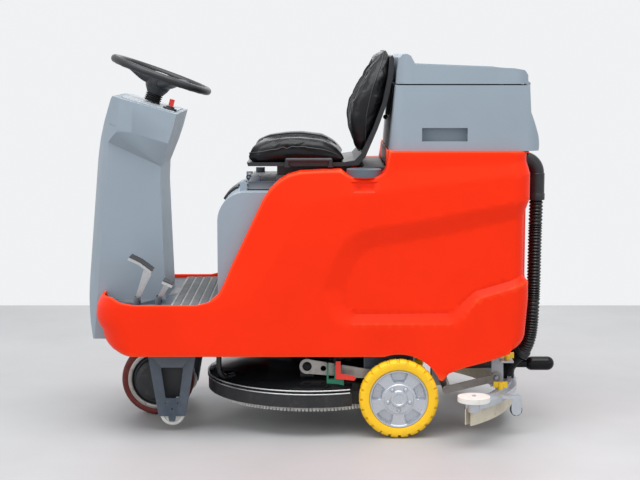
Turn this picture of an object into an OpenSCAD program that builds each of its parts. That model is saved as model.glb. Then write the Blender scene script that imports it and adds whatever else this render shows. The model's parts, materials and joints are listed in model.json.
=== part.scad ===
// Ride-on floor scrubber, in millimetres.
// X runs from the front (-X) to the rear (+X), Y across the machine, Z up from the floor.
// The driver faces -X, so the driver's left side is -Y.

/* [Body] */
// Width of the orange tank body
body_w = 660; // [650:2:670]
// Wall thickness of the moulded tank body
body_wall = 10; // [8:1:12]
// Height of the body's lower edge over the floor
skirt_z = 257; // [254:1:258]
// Height of the body's top edge beside the seat
deck_top_z = 843; // [840:1:846]
// Height of the body where the recovery tank rests on it
shelf_z = 900; // [898:1:900]

/* [Steering column] */
// Width of the column's lower part
column_w = 304; // [290:2:310]
// Width of the column's head
head_w = 390; // [370:2:400]
// Wall thickness of the column cowl
cowl_wall = 5; // [3:1:6]
// Outer diameter of the steering wheel
wheel_rim_d = 346; // [330:2:360]
// Thickness of the steering wheel's rim
wheel_rim_t = 28; // [24:1:32]
// Angle of the steering shaft from upright
shaft_tilt = 20; // [18:1:22]

/* [Wheels] */
// Diameter of the rear wheels
rear_wheel_d = 250; // [248:1:250]
// Width of a rear tyre
rear_tyre_w = 48; // [44:1:48]
// Diameter of the front drive wheel
drive_wheel_d = 240; // [236:1:240]
// Width of the front drive wheel
drive_wheel_w = 80; // [70:2:82]
// Diameter of the anti-tip rollers
tip_roller_d = 80; // [70:2:82]

/* [Brush deck] */
// Diameter of the deck cover
deck_d = 680; // [670:2:684]
// Diameter of the disc brush at its bristle ends
brush_d = 640; // [600:5:640]
// Height of the bristle ends over the floor with the deck raised
brush_clear_z = 80; // [78:1:84]

/* [Squeegee] */
// Radius of the squeegee's arc in plan
squeegee_r = 579; // [570:1:585]
// Half of the angle that the squeegee's arc spans
squeegee_half_angle = 44; // [40:1:45]
// Height of the blades' lower edge over the floor with the squeegee raised
blade_z = 58; // [54:1:62]
// Diameter of the wall guide rollers
guide_roller_d = 100; // [80:5:100]

/* [Seat] */
// Width of the seat cushion
seat_w = 470; // [440:5:474]
// Width of the backrest
back_w = 424; // [400:4:424]

/* [Recovery tank] */
// Width of the recovery tank
tank_w = 600; // [580:5:620]
// Wall thickness of the recovery tank and its lid
tank_wall = 6; // [5:1:8]

/* [Hidden] */
$fn = 96;

orange = [0.93, 0.22, 0.09];
grey = [0.58, 0.64, 0.68];
black = [0.05, 0.05, 0.06];
steel = [0.6, 0.62, 0.64];
dark_steel = [0.2, 0.25, 0.3];

body_half = body_w / 2;
column_half = column_w / 2;
head_half = head_w / 2;
tank_half = tank_w / 2;
running = 0.05;    // radial clearance of a shaft in its bore
gap = 0.5;         // gap between faces that pass each other

// Chassis
rail_in = 165;
rail_out = 205;
rail_z0 = 262;
rail_z1 = 302;
floor_z = 410;     // top of the platform plate
console_c = [-240, 680];
rear_axle_x = 238;
filler_x = 128;
filler_y = -270;
filler_r = 54;
rear_axle_r = 12.5;
rear_wheel_r = rear_wheel_d / 2;
rear_tyre_y = 345; // outer face of a rear tyre
drive_x = -550;
drive_r = drive_wheel_d / 2;
turntable_r = 60;
drop_plate_in = 252;
drop_plate_out = 262;

// Steering shaft: a line from the wheel's centre down to the universal joint
wheel_c = [-528, 0, 1130];
shaft_dir = [sin(shaft_tilt), 0, cos(shaft_tilt)];
joint_s = 325;
joint_c = wheel_c - joint_s * shaft_dir;
shaft_r = 10;
head_slope = 15.6; // fall of the column's top face towards the driver
head_c = [-555, 0, 1035];

// Brush deck
deck_x = -42;
deck_r = deck_d / 2;
brush_r = brush_d / 2;
deck_rim_z = 140;
arm_a = [150, 190];  // frame pivot of the deck arms, as X and Z
arm_b = [-50, 215];  // deck pivot of the deck arms
arm_in = 265;
arm_out = 271;

// Squeegee
arc_x = 625 - squeegee_r;
yoke_x = 380;
yoke_pivot = [405, 112];
carriage_pivot = [565, 152];
squeegee_top_z = 128;
roller_c = [463, 430];
castor_c = [612, 289];

// Suction line: the port on the squeegee, then the hose up to the tank's elbow
hose_r = 23;
port_r = 27;
hose_y = -100;
hose_x = 691;
port_path = [[612, -30, 131], [612, -30, 146], [617, -34, 168], [632, -46, 191], [652, -62, 214]];
hose_path = [[652.9, -62.7, 215.1], [664, -71, 229], [671, -80, 250], [675, -88, 280],
    [677, -94, 320], [679, -98, 370], [682, -100, 440], [686, -100, 540], [690, -100, 640],
    [691, -100, 700], [691, -100, 749.5]];

// ---- helpers ----

function arc(cx, cz, r, a0, a1, n) =
    [for (i = [0:n]) let (a = a0 + (a1 - a0) * i / n) [cx + r * cos(a), cz + r * sin(a)]];

// A plate with the side-view outline given as [X, Z] points, from y0 to y1
module slab(points, y0, y1) {
    translate([0, y1, 0]) rotate([90, 0, 0]) linear_extrude(height = y1 - y0) polygon(points);
}

module bar_y(x, z, r, y0, y1) {
    translate([x, y0, z]) rotate([-90, 0, 0]) cylinder(r = r, h = y1 - y0);
}

module box(low, high) {
    translate(low) cube(high - low);
}

module both_sides() {
    children();
    mirror([0, 1, 0]) children();
}

// Plan outline of a block from x0 to x1, with its own corner radius at each end
module plan_outline(x0, x1, half, r0, r1) {
    translate([x0 + r0, -half]) square([x1 - r1 - x0 - r0, 2 * half]);
    translate([x0, -half + r0]) square([r0, 2 * (half - r0)]);
    translate([x1 - r1, -half + r1]) square([r1, 2 * (half - r1)]);
    for (s = [-1, 1]) {
        translate([x0 + r0, s * (half - r0)]) circle(r = r0);
        translate([x1 - r1, s * (half - r1)]) circle(r = r1);
    }
}

// Local frame of the steering wheel: origin at its centre, Z up along the shaft
module at_wheel() {
    translate(wheel_c) rotate([0, shaft_tilt, 0]) children();
}

// Local frame of the column's sloping top face
module at_head() {
    translate(head_c) rotate([0, head_slope, 0]) children();
}

// Round tube swept along a route of points
function unit(v) = v / norm(v);
function tangent(path, i) =
    unit(path[min(i + 1, len(path) - 1)] - path[max(i - 1, 0)]);
function ring(c, t, r, n) =
    let (u = unit(cross(t, [0, 1, 0.2])), v = cross(t, u))
    [for (k = [0:n - 1]) let (a = 360 * k / n) c + r * (cos(a) * u + sin(a) * v)];
function catmull(p0, p1, p2, p3, t) =
    0.5 * (2 * p1 + (p2 - p0) * t + (2 * p0 - 5 * p1 + 4 * p2 - p3) * t * t
    + (3 * p1 - p0 - 3 * p2 + p3) * t * t * t);
function smooth(path, steps) =
    [for (i = [0:len(path) - 2], j = [0:steps - 1])
        catmull(path[max(i - 1, 0)], path[i], path[i + 1], path[min(i + 2, len(path) - 1)],
            j / steps), path[len(path) - 1]];

module sweep(route, r, n) {
    m = len(route);
    points = [for (i = [0:m - 1]) each ring(route[i], tangent(route, i), r, n)];
    sides = [for (i = [0:m - 2], k = [0:n - 1]) let (a = i * n + k, b = i * n + (k + 1) % n)
        [a, a + n, b + n, b]];
    ends = [[for (k = [0:n - 1]) k], [for (k = [n - 1:-1:0]) (m - 1) * n + k]];
    polyhedron(points = points, faces = concat(sides, ends));
}

// ---- chassis ----

module rail_tube() {
    difference() {
        box([-660, rail_in, rail_z0], [520, rail_out, rail_z1]);
        box([-670, rail_in + 3, rail_z0 + 3], [530, rail_out - 3, rail_z1 - 3]);
    }
}

module axle_plate() {
    slab([[130, rail_z1], [130, 176], [172, 176], [190, 215], [190, 95], [286, 95],
        [286, rail_z1]], drop_plate_in, drop_plate_out);
    box([196, rail_out, rail_z0], [284, drop_plate_in, rail_z1]);
    bar_y(rear_axle_x, rear_wheel_r, rear_axle_r, drop_plate_out, rear_tyre_y - 10);
    bar_y(rear_axle_x, rear_wheel_r, 22, drop_plate_out, rear_tyre_y - rear_tyre_w - 3);
    bar_y(arm_a[0], arm_a[1], 8, drop_plate_out, arm_out + 4);
}

module main_frame() {
    color(dark_steel) difference() {
        union() {
            both_sides() {
                rail_tube();
                axle_plate();
                box([-640, rail_in, rail_z1], [-610, rail_out, floor_z - 10]);
                box([-380, rail_in, rail_z1], [-350, rail_out, floor_z - 10]);
            }
            box([-660, -rail_in, rail_z0], [-430, rail_in, rail_z0 + 10]);
            box([330, -rail_in, rail_z0], [420, rail_in, rail_z0 + 30]);
            box([480, -rail_in, rail_z0], [520, rail_in, rail_z1]);
            box([-200, -rail_in, rail_z1 - 6], [200, rail_in, rail_z1]);
            box([350, -45, 226], [410, 45, rail_z0]);
            both_sides() {
                box([-330, rail_out, 270], [-300, body_half - body_wall, 290]);
                box([380, rail_out, 270], [410, body_half - body_wall, 290]);
            }
        }
        translate([drive_x, 0, 250]) cylinder(r = turntable_r + running, h = 40);
        translate([joint_c[0], 0, 250]) cylinder(r = shaft_r + running, h = 40);
        translate([yoke_x, 0, 220]) cylinder(r = 12 + running, h = 40);
    }
}

// Side view of the tank body: front lip, platform rim, wing, seat deck, rear block, wheel arch
function body_outline() = concat(
    arc(-632, skirt_z + 70, 70, -90, -142, 5),
    [[-708, 330], [-724, 372], [-716, 420], [-706, 440], [-680, 441], [-640, 428], [-590, 421],
        [-394, 421], [-353, 431], [-325, 455], [-308, 489], [-285, 543], [-218, 683],
        [-185, 752], [-165, 782], [-137, 808], [-108, 826], [-72, 836], [0, deck_top_z - 3],
        [196, deck_top_z], [206, shelf_z], [645, shelf_z], [645, 430], [638, 345]],
    arc(582, 330, 55, -5, -62, 4),
    [[578, 264], [520, 243], [440, 221], [395, 204], [376, 180]],
    arc(rear_axle_x, rear_wheel_r, rear_wheel_r + 15, 24, 70, 5),
    [[278, skirt_z]]);

// The hollow behind the side walls, the seat deck and the rear block
function body_hollow() = [[-700, 150], [-700, 500], [-340, 500], [-318, 495], [-230, 690],
    [-176, 783], [-146, 805], [-110, 815], [0, deck_top_z - 3 - body_wall],
    [214, deck_top_z - body_wall], [214, shelf_z - 8], [637, shelf_z - 8], [637, 430],
    [628, 335], [590, 150]];

module solution_tank() {
    color(orange) difference() {
        intersection() {
            slab(body_outline(), -body_half, body_half);
            translate([0, 0, 150]) linear_extrude(height = 800)
                plan_outline(-724, 645, body_half, 130, 60);
        }
        // hollow under the skin
        intersection() {
            slab(body_hollow(), -body_half, body_half);
            translate([0, 0, 140]) linear_extrude(height = 820)
                plan_outline(-714, 637, body_half - body_wall, 120, 52);
        }
        // gap for the column's front apron
        box([-730, -column_half - 6, 200], [-640, column_half + 6, 500]);
        // bay for the console, then the battery bay under the seat
        box([-345, -285, 300], [-160, 285, 900]);
        seat_bay();
        filler_scoop();
        translate([filler_x, filler_y, 700]) cylinder(r = filler_r + 4, h = 200);
    }
    color(orange) difference() {
        intersection() {
            translate([filler_x, filler_y, 790]) cylinder(r = filler_r + 12, h = 44);
            box([0, -body_half, 700], [300, 0, 900]);
        }
        translate([filler_x, filler_y, 818]) cylinder(r = filler_r + 4, h = 40);
        translate([filler_x, filler_y, 780]) cylinder(r = 42, h = 60);
        filler_scoop();
        seat_bay();
    }
}

// Battery bay under the seat
module seat_bay() {
    box([-165, -236, 300], [206, 236, 870]);
}

// Dip in the side wall's top edge in front of the filler cap
module filler_scoop() {
    bar_y(filler_x, 923, 109, -body_half - 5, filler_y);
}

module filler_cap() {
    color([0.2, 0.23, 0.26]) translate([filler_x, filler_y, 0]) {
        translate([0, 0, 818]) cylinder(r = filler_r, h = 24);
        translate([0, 0, 800]) cylinder(r = 42 - gap, h = 19);
    }
}

module pedal_ears(x, y) {
    for (s = [-1, 1]) difference() {
        box([x - 9, y + s * 17 - 3, floor_z], [x + 9, y + s * 17 + 3, floor_z + 24]);
        bar_y(x, floor_z + 14, 4, y - 30, y + 30);
    }
    bar_y(x, floor_z + 14, 4, y - 20, y + 20);
}

module platform_plate() {
    color(dark_steel) {
        difference() {
            translate([0, 0, floor_z - 10]) linear_extrude(height = 10)
                plan_outline(-700, -329, body_half - body_wall, 106, 10);
            translate([joint_c[0], 0, floor_z - 20]) cylinder(r = 20, h = 40);
            box([-710, -column_half - 6, floor_z - 20], [-690, column_half + 6, floor_z + 20]);
        }
        pedal_ears(-589, -241);
        pedal_ears(-522, -228);
    }
}

// Rubber mat with ridges across the machine
module floor_mat() {
    mat_x0 = -478;
    pitch = 29.5;
    color([0.45, 0.47, 0.48]) {
        box([mat_x0, -298, floor_z], [-331, 298, floor_z + 4]);
        for (i = [0:4])
            box([mat_x0 + 8 + i * pitch, -294, floor_z + 4], [mat_x0 + 14 + i * pitch, 294, floor_z + 7]);
    }
}

module battery_pack() {
    color([0.12, 0.13, 0.15]) for (i = [0:1], j = [0:1]) {
        x = -178 + i * 180;
        y = -152 + j * 154;
        box([x, y, rail_z1], [x + 176, y + 150, rail_z1 + 250]);
        for (t = [0, 1])
            translate([x + 35 + t * 106, y + 30, rail_z1 + 250]) cylinder(r = 9, h = 16);
    }
}

module seat_console() {
    profile = concat([[-330, floor_z], [-330, 680]], arc(console_c[0], console_c[1], 90, 180, 98, 8),
        [[-166, 769], [-166, floor_z]]);
    inner = concat([[-324, floor_z - 6], [-324, 680]], arc(console_c[0], console_c[1], 84, 180, 98, 8),
        [[-160, 763], [-160, floor_z - 6]]);
    color(grey) {
        difference() {
            slab(profile, -280, 280);
            slab(inner, -274, 274);
            slab(grip_outline(0.3), -60.3, 60.3);
        }
        both_sides() {
            box([-262, 206, 762], [-240, 213, 796]);
            bar_y(-250, 784, 4, 112, 213);
        }
    }
}

// Grip let into the rounded front edge
function grip_outline(grow) = concat(
    arc(console_c[0], console_c[1], 98 + grow, 150 + grow, 114 - grow, 5),
    arc(console_c[0], console_c[1], 87 - grow, 113 - grow, 151 + grow, 5));

module console_grip() {
    color(black) slab(grip_outline(0), -60, 60);
}

// ---- steering column ----

function column_front() = [[-746, 281], [-757, 330], [-766, 400], [-768, 450], [-768, 501],
    [-758, 632], [-740, 824], [-717, 930], [-700, 985], [-674, 1056]];

// Side of the column that faces the driver, from the top down
function column_back() = [[-461, 1008.8], [-476, 955], [-499, 890], [-517, 843], [-520, 780],
    [-514, 600], [-507, floor_z]];

// Rounded front of the column in plan, leaning back as it rises
module column_round(r) {
    translate([-768, 0, 500]) rotate([0, 5, 0]) translate([272, 0, -300]) {
        cylinder(r = r, h = 1000);
        translate([-150, -200, 0]) cube([500, 400, 1000]);
    }
}

module head_plan() {
    translate([-600, 0, 800]) cylinder(r = head_half, h = 400);
    box([-600, -head_half, 800], [-520, head_half, 1200]);
    translate([-520, 0, 800]) cylinder(r = head_half, h = 400);
    box([-520, -head_half + 16, 800], [-400, head_half - 16, 1200]);
    box([-520, -head_half, 800], [-460, head_half, 1200]);
}

module column_lower() {
    intersection() {
        slab(concat(column_front(), [[-668, 1065], [-652, 1062]], column_back(),
            [[-696, floor_z], [-696, 281]]), -column_half, column_half);
        column_round(272);
    }
}

// Flare between the slim lower column and the wide head
module column_flare() {
    intersection() {
        hull() {
            slab([[-640, 965], [-695, 982], [-489, 918], [-490, 914]], -head_half, head_half);
            slab([[-700, 925], [-700, 929], [-517, 845], [-517, 841]], -column_half, column_half);
        }
        head_plan();
        column_round(272);
    }
}

module column_head() {
    intersection() {
        slab([[-674, 1056], [-668, 1065], [-652, 1062], [-461, 1008.8], [-476, 955], [-489, 918],
            [-637, 964], [-700, 985]], -head_half, head_half);
        head_plan();
        column_round(272);
    }
}

module column_cowl() {
    color(grey) difference() {
        union() {
            column_lower();
            column_flare();
            column_head();
        }
        // hollow inside
        intersection() {
            slab([[-738, 200], [-747, 330], [-757, 440], [-757, 500], [-747, 632], [-729, 824],
                [-712, 905], [-532, 862], [-530, 780], [-524, 600], [-517, 200]], -column_half + cowl_wall,
                column_half - cowl_wall);
            column_round(272 - cowl_wall);
        }
        slab([[-650, 985], [-650, 1040], [-482, 990], [-500, 935]],
            -head_half + cowl_wall + 25, head_half - cowl_wall - 25);
        at_wheel() translate([0, 0, -420]) cylinder(r = 19, h = 420);
        at_head() translate([0, 0, -1]) linear_extrude(height = 30) panel_outline(1);
    }
}

// Outline of the top panel, rounded at its front corners
module panel_outline(grow) {
    corner = 62;
    front = -34;
    translate([front, -150 - grow]) square([84 - front + grow, 300 + 2 * grow]);
    for (side = [-1, 1]) translate([front, 88 * side]) circle(r = corner + grow);
    translate([front - corner - grow, -88]) square([corner + grow, 176]);
}

module column_panel() {
    color([0.66, 0.7, 0.73]) difference() {
        at_head() translate([0, 0, -1]) linear_extrude(height = 4) panel_outline(0);
        at_wheel() translate([0, 0, -120]) cylinder(r = 19, h = 60);
    }
}

module column_bellows() {
    folds = 4;
    bottom = -94;
    pitch = 27 / folds;
    outline = concat(
        [for (i = [0:folds - 1]) each [[24, bottom + i * pitch], [29, bottom + (i + 0.5) * pitch]]],
        [[24, bottom + folds * pitch], [15, bottom + folds * pitch], [15, bottom]]);
    color(black) at_wheel() rotate_extrude() polygon(outline);
}

module at_key() {
    at_head() translate([66, -112, 3]) children();
}

module key_switch_base() {
    color(black) at_key() difference() {
        union() {
            cylinder(r = 22, h = 6);
            cylinder(r = 14, h = 11);
        }
        translate([0, 0, 3]) cylinder(r = 5 + running, h = 20);
    }
}

module key_lever() {
    color("red") at_key() {
        translate([0, 0, 3.5]) cylinder(r = 5, h = 9);
        box([-8, -3, 12], [8, 3, 34]);
    }
}

module steering_wheel() {
    rim_r = wheel_rim_d / 2 - wheel_rim_t / 2;
    color(black) at_wheel() {
        rotate_extrude() translate([rim_r, 0]) circle(r = wheel_rim_t / 2, $fn = 32);
        difference() {
            for (a = [0, 120, 240]) rotate([0, 0, a + 180]) {
                box([20, -17, -22], [rim_r, 17, -12]);
                box([20, -11, -36], [90, 11, -22]);
            }
            translate([0, 0, -60]) cylinder(r = 40, h = 80);
            rotate_extrude() translate([rim_r, 0]) circle(r = wheel_rim_t / 2 - 4, $fn = 32);
        }
    }
}

module steering_hub() {
    color(black) at_wheel() difference() {
        rotate_extrude() polygon([[0, -66], [26, -66], [33, -52], [40, -40], [40, -10], [30, -4],
            [0, -4]]);
        translate([0, 0, -70]) cylinder(r = shaft_r, h = 40);
    }
}

module upper_shaft() {
    color(steel) at_wheel() {
        translate([0, 0, -joint_s + 13]) cylinder(r = shaft_r, h = joint_s - 13 - 30);
        translate([0, 0, -joint_s + 13]) cylinder(r = 15, h = 24);
    }
}

module lower_shaft() {
    color(steel) translate([joint_c[0], 0, 0]) {
        translate([0, 0, joint_c[2]]) sphere(r = 11);
        translate([0, 0, rail_z0]) cylinder(r = shaft_r, h = joint_c[2] - rail_z0);
        translate([0, 0, joint_c[2] - 40]) cylinder(r = 15, h = 26);
        translate([0, 0, 276]) cylinder(r = 18, h = 8);
    }
}

// Roller chain from the shaft's sprocket to the turntable's, as one band
module steering_chain() {
    reach = drive_x - joint_c[0];
    color([0.3, 0.3, 0.3]) translate([joint_c[0], 0, 277]) linear_extrude(height = 6)
        difference() {
            chain_loop(reach, 22.5, 58.5);
            chain_loop(reach, 18.5, 54.5);
        }
}

module chain_loop(reach, r_small, r_big) {
    lean = acos((r_big - r_small) / reach);
    circle(r = r_small);
    translate([reach, 0]) circle(r = r_big);
    polygon([for (p = [[0, r_small, 1], [reach, r_big, 1], [reach, r_big, -1], [0, r_small, -1]])
        [p[0] - p[1] * cos(lean), p[2] * p[1] * sin(lean)]]);
}

module pedal(x, y, arm, pad, pad_half) {
    z = floor_z + 14;
    difference() {
        union() {
            bar_y(x, z, 8, y - 13, y + 13);
            slab(arm, y - 5, y + 5);
            slab(pad, y - pad_half, y + pad_half);
        }
        bar_y(x, z, 4 + running, y - 40, y + 40);
    }
}

module accelerator_pedal() {
    color(steel) pedal(-589, -241, [[-596, 424], [-582, 424], [-541, 508], [-566, 522]],
        [[-613, 556], [-608, 564], [-575, 548], [-537, 519], [-541, 510], [-577, 539]], 34);
}

module brake_pedal() {
    color(steel) pedal(-522, -228, [[-529, 424], [-515, 424], [-484, 468], [-502, 476]],
        [[-510, 478], [-506, 486], [-474, 472], [-478, 464]], 28);
}

// ---- drive unit ----

module drive_fork() {
    side = drive_wheel_w / 2 + 4;
    color([0.12, 0.12, 0.13]) translate([drive_x, 0, 0]) {
        translate([0, 0, 249]) cylinder(r = 92, h = 12.5);
        translate([0, 0, 261]) cylinder(r = turntable_r, h = 14);
        translate([0, 0, 275]) cylinder(r = 54, h = 9);
        box([-34, side, drive_r], [34, side + 40, 249]);
        bar_y(0, drive_r, 48, side, side + 40);
        bar_y(0, drive_r, 15 - running, -24, side);
    }
}

module drive_motor() {
    color([0.2, 0.2, 0.22]) translate([drive_x, 0, 284]) {
        cylinder(r = 47, h = 92);
        translate([0, 0, 92]) cylinder(r = 30, h = 10);
    }
}

module drive_hub() {
    half = drive_wheel_w / 2;
    color([0.16, 0.16, 0.18]) translate([drive_x, 0, drive_r]) rotate([90, 0, 0]) difference() {
        rotate_extrude() polygon([[0, -half + 2], [99, -half + 2], [99, half - 4], [84, half - 4],
            [80, half - 10], [74, half - 10], [70, half + 14], [56, half + 22], [0, half + 22]]);
        translate([0, 0, -half - 1]) cylinder(r = 15, h = half + 27);
        for (i = [0:7]) rotate([0, 0, i * 45 + 20])
            translate([90, 0, half - 8]) cylinder(r = 4, h = 20, $fn = 24);
    }
}

module drive_tyre() {
    half = drive_wheel_w / 2;
    color([0.35, 0.09, 0.08]) translate([drive_x, 0, drive_r]) rotate([90, 0, 0])
        rotate_extrude() polygon([[99, -half + 2], [112, -half], [drive_r, -half + 10],
            [drive_r, half - 10], [112, half], [99, half - 2]]);
}

module tip_bracket() {
    color(dark_steel) {
        difference() {
            slab([[-556, rail_z0], [-556, 252], [-524, 51], [-492, 51], [-490, 34], [-470, 34],
                [-468, 51], [-436, 51], [-404, 252], [-404, rail_z0]], 256, 262);
            slab([[-514, 209], [-444, 209], [-458, 110], [-500, 110]], 250, 270);
            for (p = [[-500, 94], [-462, 94], [-481, 76]]) bar_y(p[0], p[1], 4, 250, 270);
        }
        box([-556, rail_out, rail_z0 - 6], [-404, 262, rail_z0]);
        box([-556, rail_out, rail_z0], [-404, rail_out + 6, rail_z1]);
        bar_y(-481, 58, 6 - running, 222, 256);
    }
}

module tip_bracket_right() {
    tip_bracket();
}

module tip_bracket_left() {
    mirror([0, 1, 0]) tip_bracket();
}

module tip_roller() {
    color([0.85, 0.85, 0.82]) translate([-481, 226, 58]) rotate([-90, 0, 0]) difference() {
        cylinder(r = tip_roller_d / 2, h = 26);
        translate([0, 0, -1]) cylinder(r = 6, h = 30);
        translate([0, 0, -1]) rotate_extrude() translate([14, 0]) square([16, 6]);
    }
}

module tip_roller_right() {
    tip_roller();
}

module tip_roller_left() {
    mirror([0, 1, 0]) tip_roller();
}

// ---- rear wheels, with their outer face at +Z of a local frame ----

module at_rear_wheel(side) {
    translate([rear_axle_x, side * (rear_tyre_y - rear_tyre_w / 2), rear_wheel_r])
        rotate([-90 * side, 0, 0]) children();
}

module rear_rim(side) {
    half = rear_tyre_w / 2;
    color([0.75, 0.76, 0.78]) at_rear_wheel(side) difference() {
        rotate_extrude() polygon([[0, -half], [26, -half], [26, -4], [84, -4], [84, -half + 2],
            [92, -half + 2], [92, half - 2], [86, half - 2], [82, 6], [52, 2], [36, 6], [30, half - 6],
            [26, half - 1], [0, half]]);
        translate([0, 0, -half - 1]) cylinder(r = rear_axle_r + running, h = 2 * half - 8);
        for (i = [0:4]) rotate([0, 0, 72 * i + 90])
            translate([66, 0, -10]) cylinder(r = 11, h = 30, $fn = 32);
    }
}

module rear_tyre(side) {
    half = rear_tyre_w / 2;
    color([0.95, 0.78, 0.05]) at_rear_wheel(side) rotate_extrude()
        polygon([[92, -half + 2], [118, -half], [rear_wheel_r, -half + 7],
            [rear_wheel_r, half - 7], [118, half], [92, half - 2]]);
}

module rear_rim_left() {
    rear_rim(-1);
}

module rear_rim_right() {
    rear_rim(1);
}

module rear_tyre_left() {
    rear_tyre(-1);
}

module rear_tyre_right() {
    rear_tyre(1);
}

// ---- recovery tank ----

module tank_block(points, half, r, x0, x1) {
    intersection() {
        slab(points, -half, half);
        translate([0, 0, 800]) linear_extrude(height = 500) plan_outline(x0, x1, half, r, r);
    }
}

module recovery_tank() {
    t = tank_wall;
    outer = [[208, shelf_z], [670, shelf_z], [674, 918], [669, 945], [655, 986], [642, 1020],
        [637, 1102], [226, 1102]];
    inner = [[208 + t, shelf_z + t], [662, shelf_z + t], [667, 918], [662, 945], [648, 986],
        [636, 1020], [631, 1110], [226 + t, 1110]];
    color(grey) {
        difference() {
            tank_block(outer, tank_half, 45, 208, 674);
            tank_block(inner, tank_half - t, 40, 208 + t, 668);
            both_sides() box([306, tank_half - 34, 929], [447, tank_half + 10, 971]);
        }
        // walls of the grip pockets, behind the recesses
        both_sides() difference() {
            box([306 - t, tank_half - 34 - t, 929 - t], [447 + t, tank_half - t, 971 + t]);
            box([306, tank_half - 34, 929], [447, tank_half + 10, 971]);
        }
        // standpipe with the float cage on top
        difference() {
            translate([290, 170, shelf_z + t]) cylinder(r = 32, h = 100);
            translate([290, 170, shelf_z + t]) cylinder(r = 27, h = 110);
        }
        for (i = [0:7]) translate([290, 170, 1006]) rotate([0, 0, i * 45])
            translate([29, 0, 0]) cylinder(r = 3, h = 64, $fn = 16);
        translate([290, 170, 1066]) cylinder(r = 34, h = 8);
        // hinge knuckles for the lid
        both_sides() difference() {
            union() {
                bar_y(646, 1104, 7, 140, 170);
                box([632, 140, 1090], [646, 170, 1101]);
            }
            bar_y(646, 1104, 3 + running, 130, 180);
        }
    }
}

module recovery_lid() {
    outer = [[228, 1106], [230, 1140], [236, 1186], [246, 1197], [258, 1198], [270, 1192],
        [284, 1166], [588, 1154], [622, 1148], [636, 1132], [637, 1106]];
    inner = [[234, 1100], [236, 1140], [242, 1182], [250, 1191], [258, 1191], [266, 1186],
        [279, 1160], [300, 1120], [600, 1120], [628, 1128], [631, 1100]];
    tray = [[290, 1230], [296, 1128], [600, 1128], [606, 1230]];
    color(grey) {
        difference() {
            tank_block(outer, tank_half - 2, 45, 228, 637);
            tank_block(inner, tank_half - 8, 39, 234, 631);
            slab(tray, -tank_half + 28, tank_half - 28);
        }
        box([223, -24, 1110], [231, 24, 1166]);
        both_sides() {
            bar_y(646, 1104, 7, 172, 196);
            bar_y(646, 1104, 3, 134, 196);
            box([634, 172, 1107], [646, 196, 1118]);
        }
    }
}

module lid_strap() {
    color(black) {
        slab([[206.5, 1000], [215.7, 1100], [225.7, 1100], [216.5, 1000]], -22, 22);
        translate([206, 0, 992]) sphere(r = 8);
    }
}

module vacuum_motor() {
    color([0.25, 0.26, 0.28]) translate([330, 0, 0]) {
        translate([0, 0, 720]) cylinder(r = 74, h = shelf_z - 8 - 720);
        translate([0, 0, 690]) cylinder(r = 55, h = 30);
    }
}

module hose_elbow() {
    color(black) {
        translate([645, hose_y, 816]) rotate([90, 0, 0])
            rotate_extrude(angle = 90) translate([46, 0]) circle(r = 24);
        translate([hose_x, hose_y, 750]) cylinder(r = 26, h = 66);
    }
}

module suction_hose() {
    color(black) sweep(smooth(hose_path, 4), hose_r, 12);
}

// ---- brush deck ----

// Space that the deck leaves for the rear wheels
module wheel_gap() {
    both_sides() box([92, 286, 60], [400, 400, 260]);
}

module dome() {
    translate([deck_x, 0, 0]) rotate_extrude() polygon([[0, deck_rim_z], [deck_r, deck_rim_z],
        [deck_r, 150], [318, 166], [230, 188], [150, 200], [70, 204], [0, 204]]);
}

module dome_hollow() {
    translate([deck_x, 0, 0]) rotate_extrude() polygon([[0, 100], [deck_r - 6, 100],
        [deck_r - 6, 145], [315, 159], [228, 181], [150, 193], [70, 197], [13, 197], [13, 260],
        [0, 260]]);
}

module deck_cover() {
    color(black) {
        difference() {
            union() {
                dome();
                // ears that the deck arms hold
                both_sides() box([-72, 250, 177], [-28, 260, 232]);
            }
            dome_hollow();
            wheel_gap();
        }
        intersection() {
            dome();
            both_sides() box([80, 281, deck_rim_z], [150, 286, 180]);
        }
        both_sides() bar_y(arm_b[0], arm_b[1], 8, 260, arm_out + 4);
    }
}

module deck_skirt() {
    color([0.09, 0.09, 0.1]) {
        difference() {
            translate([deck_x, 0, 97]) cylinder(r = deck_r, h = deck_rim_z - 97);
            translate([deck_x, 0, 90]) cylinder(r = deck_r - 6, h = 60);
            wheel_gap();
        }
        both_sides() box([86, 281, 97], [141, 286, deck_rim_z]);
    }
}

module brush_motor() {
    color([0.15, 0.15, 0.17]) translate([deck_x, 0, 0]) {
        translate([0, 0, 204]) cylinder(r = 66, h = 50);
        translate([0, 0, 122]) cylinder(r = 12 - running, h = 84);
    }
}

module brush_disc() {
    color([0.3, 0.32, 0.34]) translate([deck_x, 0, 0]) difference() {
        union() {
            translate([0, 0, 118]) cylinder(r = 302, h = 12);
            translate([0, 0, 130]) cylinder(r = 42, h = 32);
        }
        translate([0, 0, 110]) cylinder(r = 12, h = 60);
    }
}

module brush_bristles() {
    color([0.62, 0.64, 0.63]) translate([deck_x, 0, 0]) rotate_extrude()
        polygon([[170, 118], [290, 118], [brush_r, brush_clear_z], [160, brush_clear_z]]);
}

module deck_arms() {
    long = norm(arm_a - arm_b);
    lean = atan2(arm_b[1] - arm_a[1], arm_b[0] - arm_a[0]);
    color(steel) both_sides() translate([arm_a[0], arm_out, arm_a[1]]) rotate([90, 0, 0])
        rotate([0, 0, lean]) linear_extrude(height = arm_out - arm_in) difference() {
            union() {
                circle(r = 16);
                translate([long, 0]) circle(r = 24);
                polygon([[0, 15], [0, -15], [long, -23], [long, 23]]);
            }
            circle(r = 8 + running);
            translate([long, 0]) circle(r = 15);
            translate([long - 52, 0]) circle(r = 9);
        }
}

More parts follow.
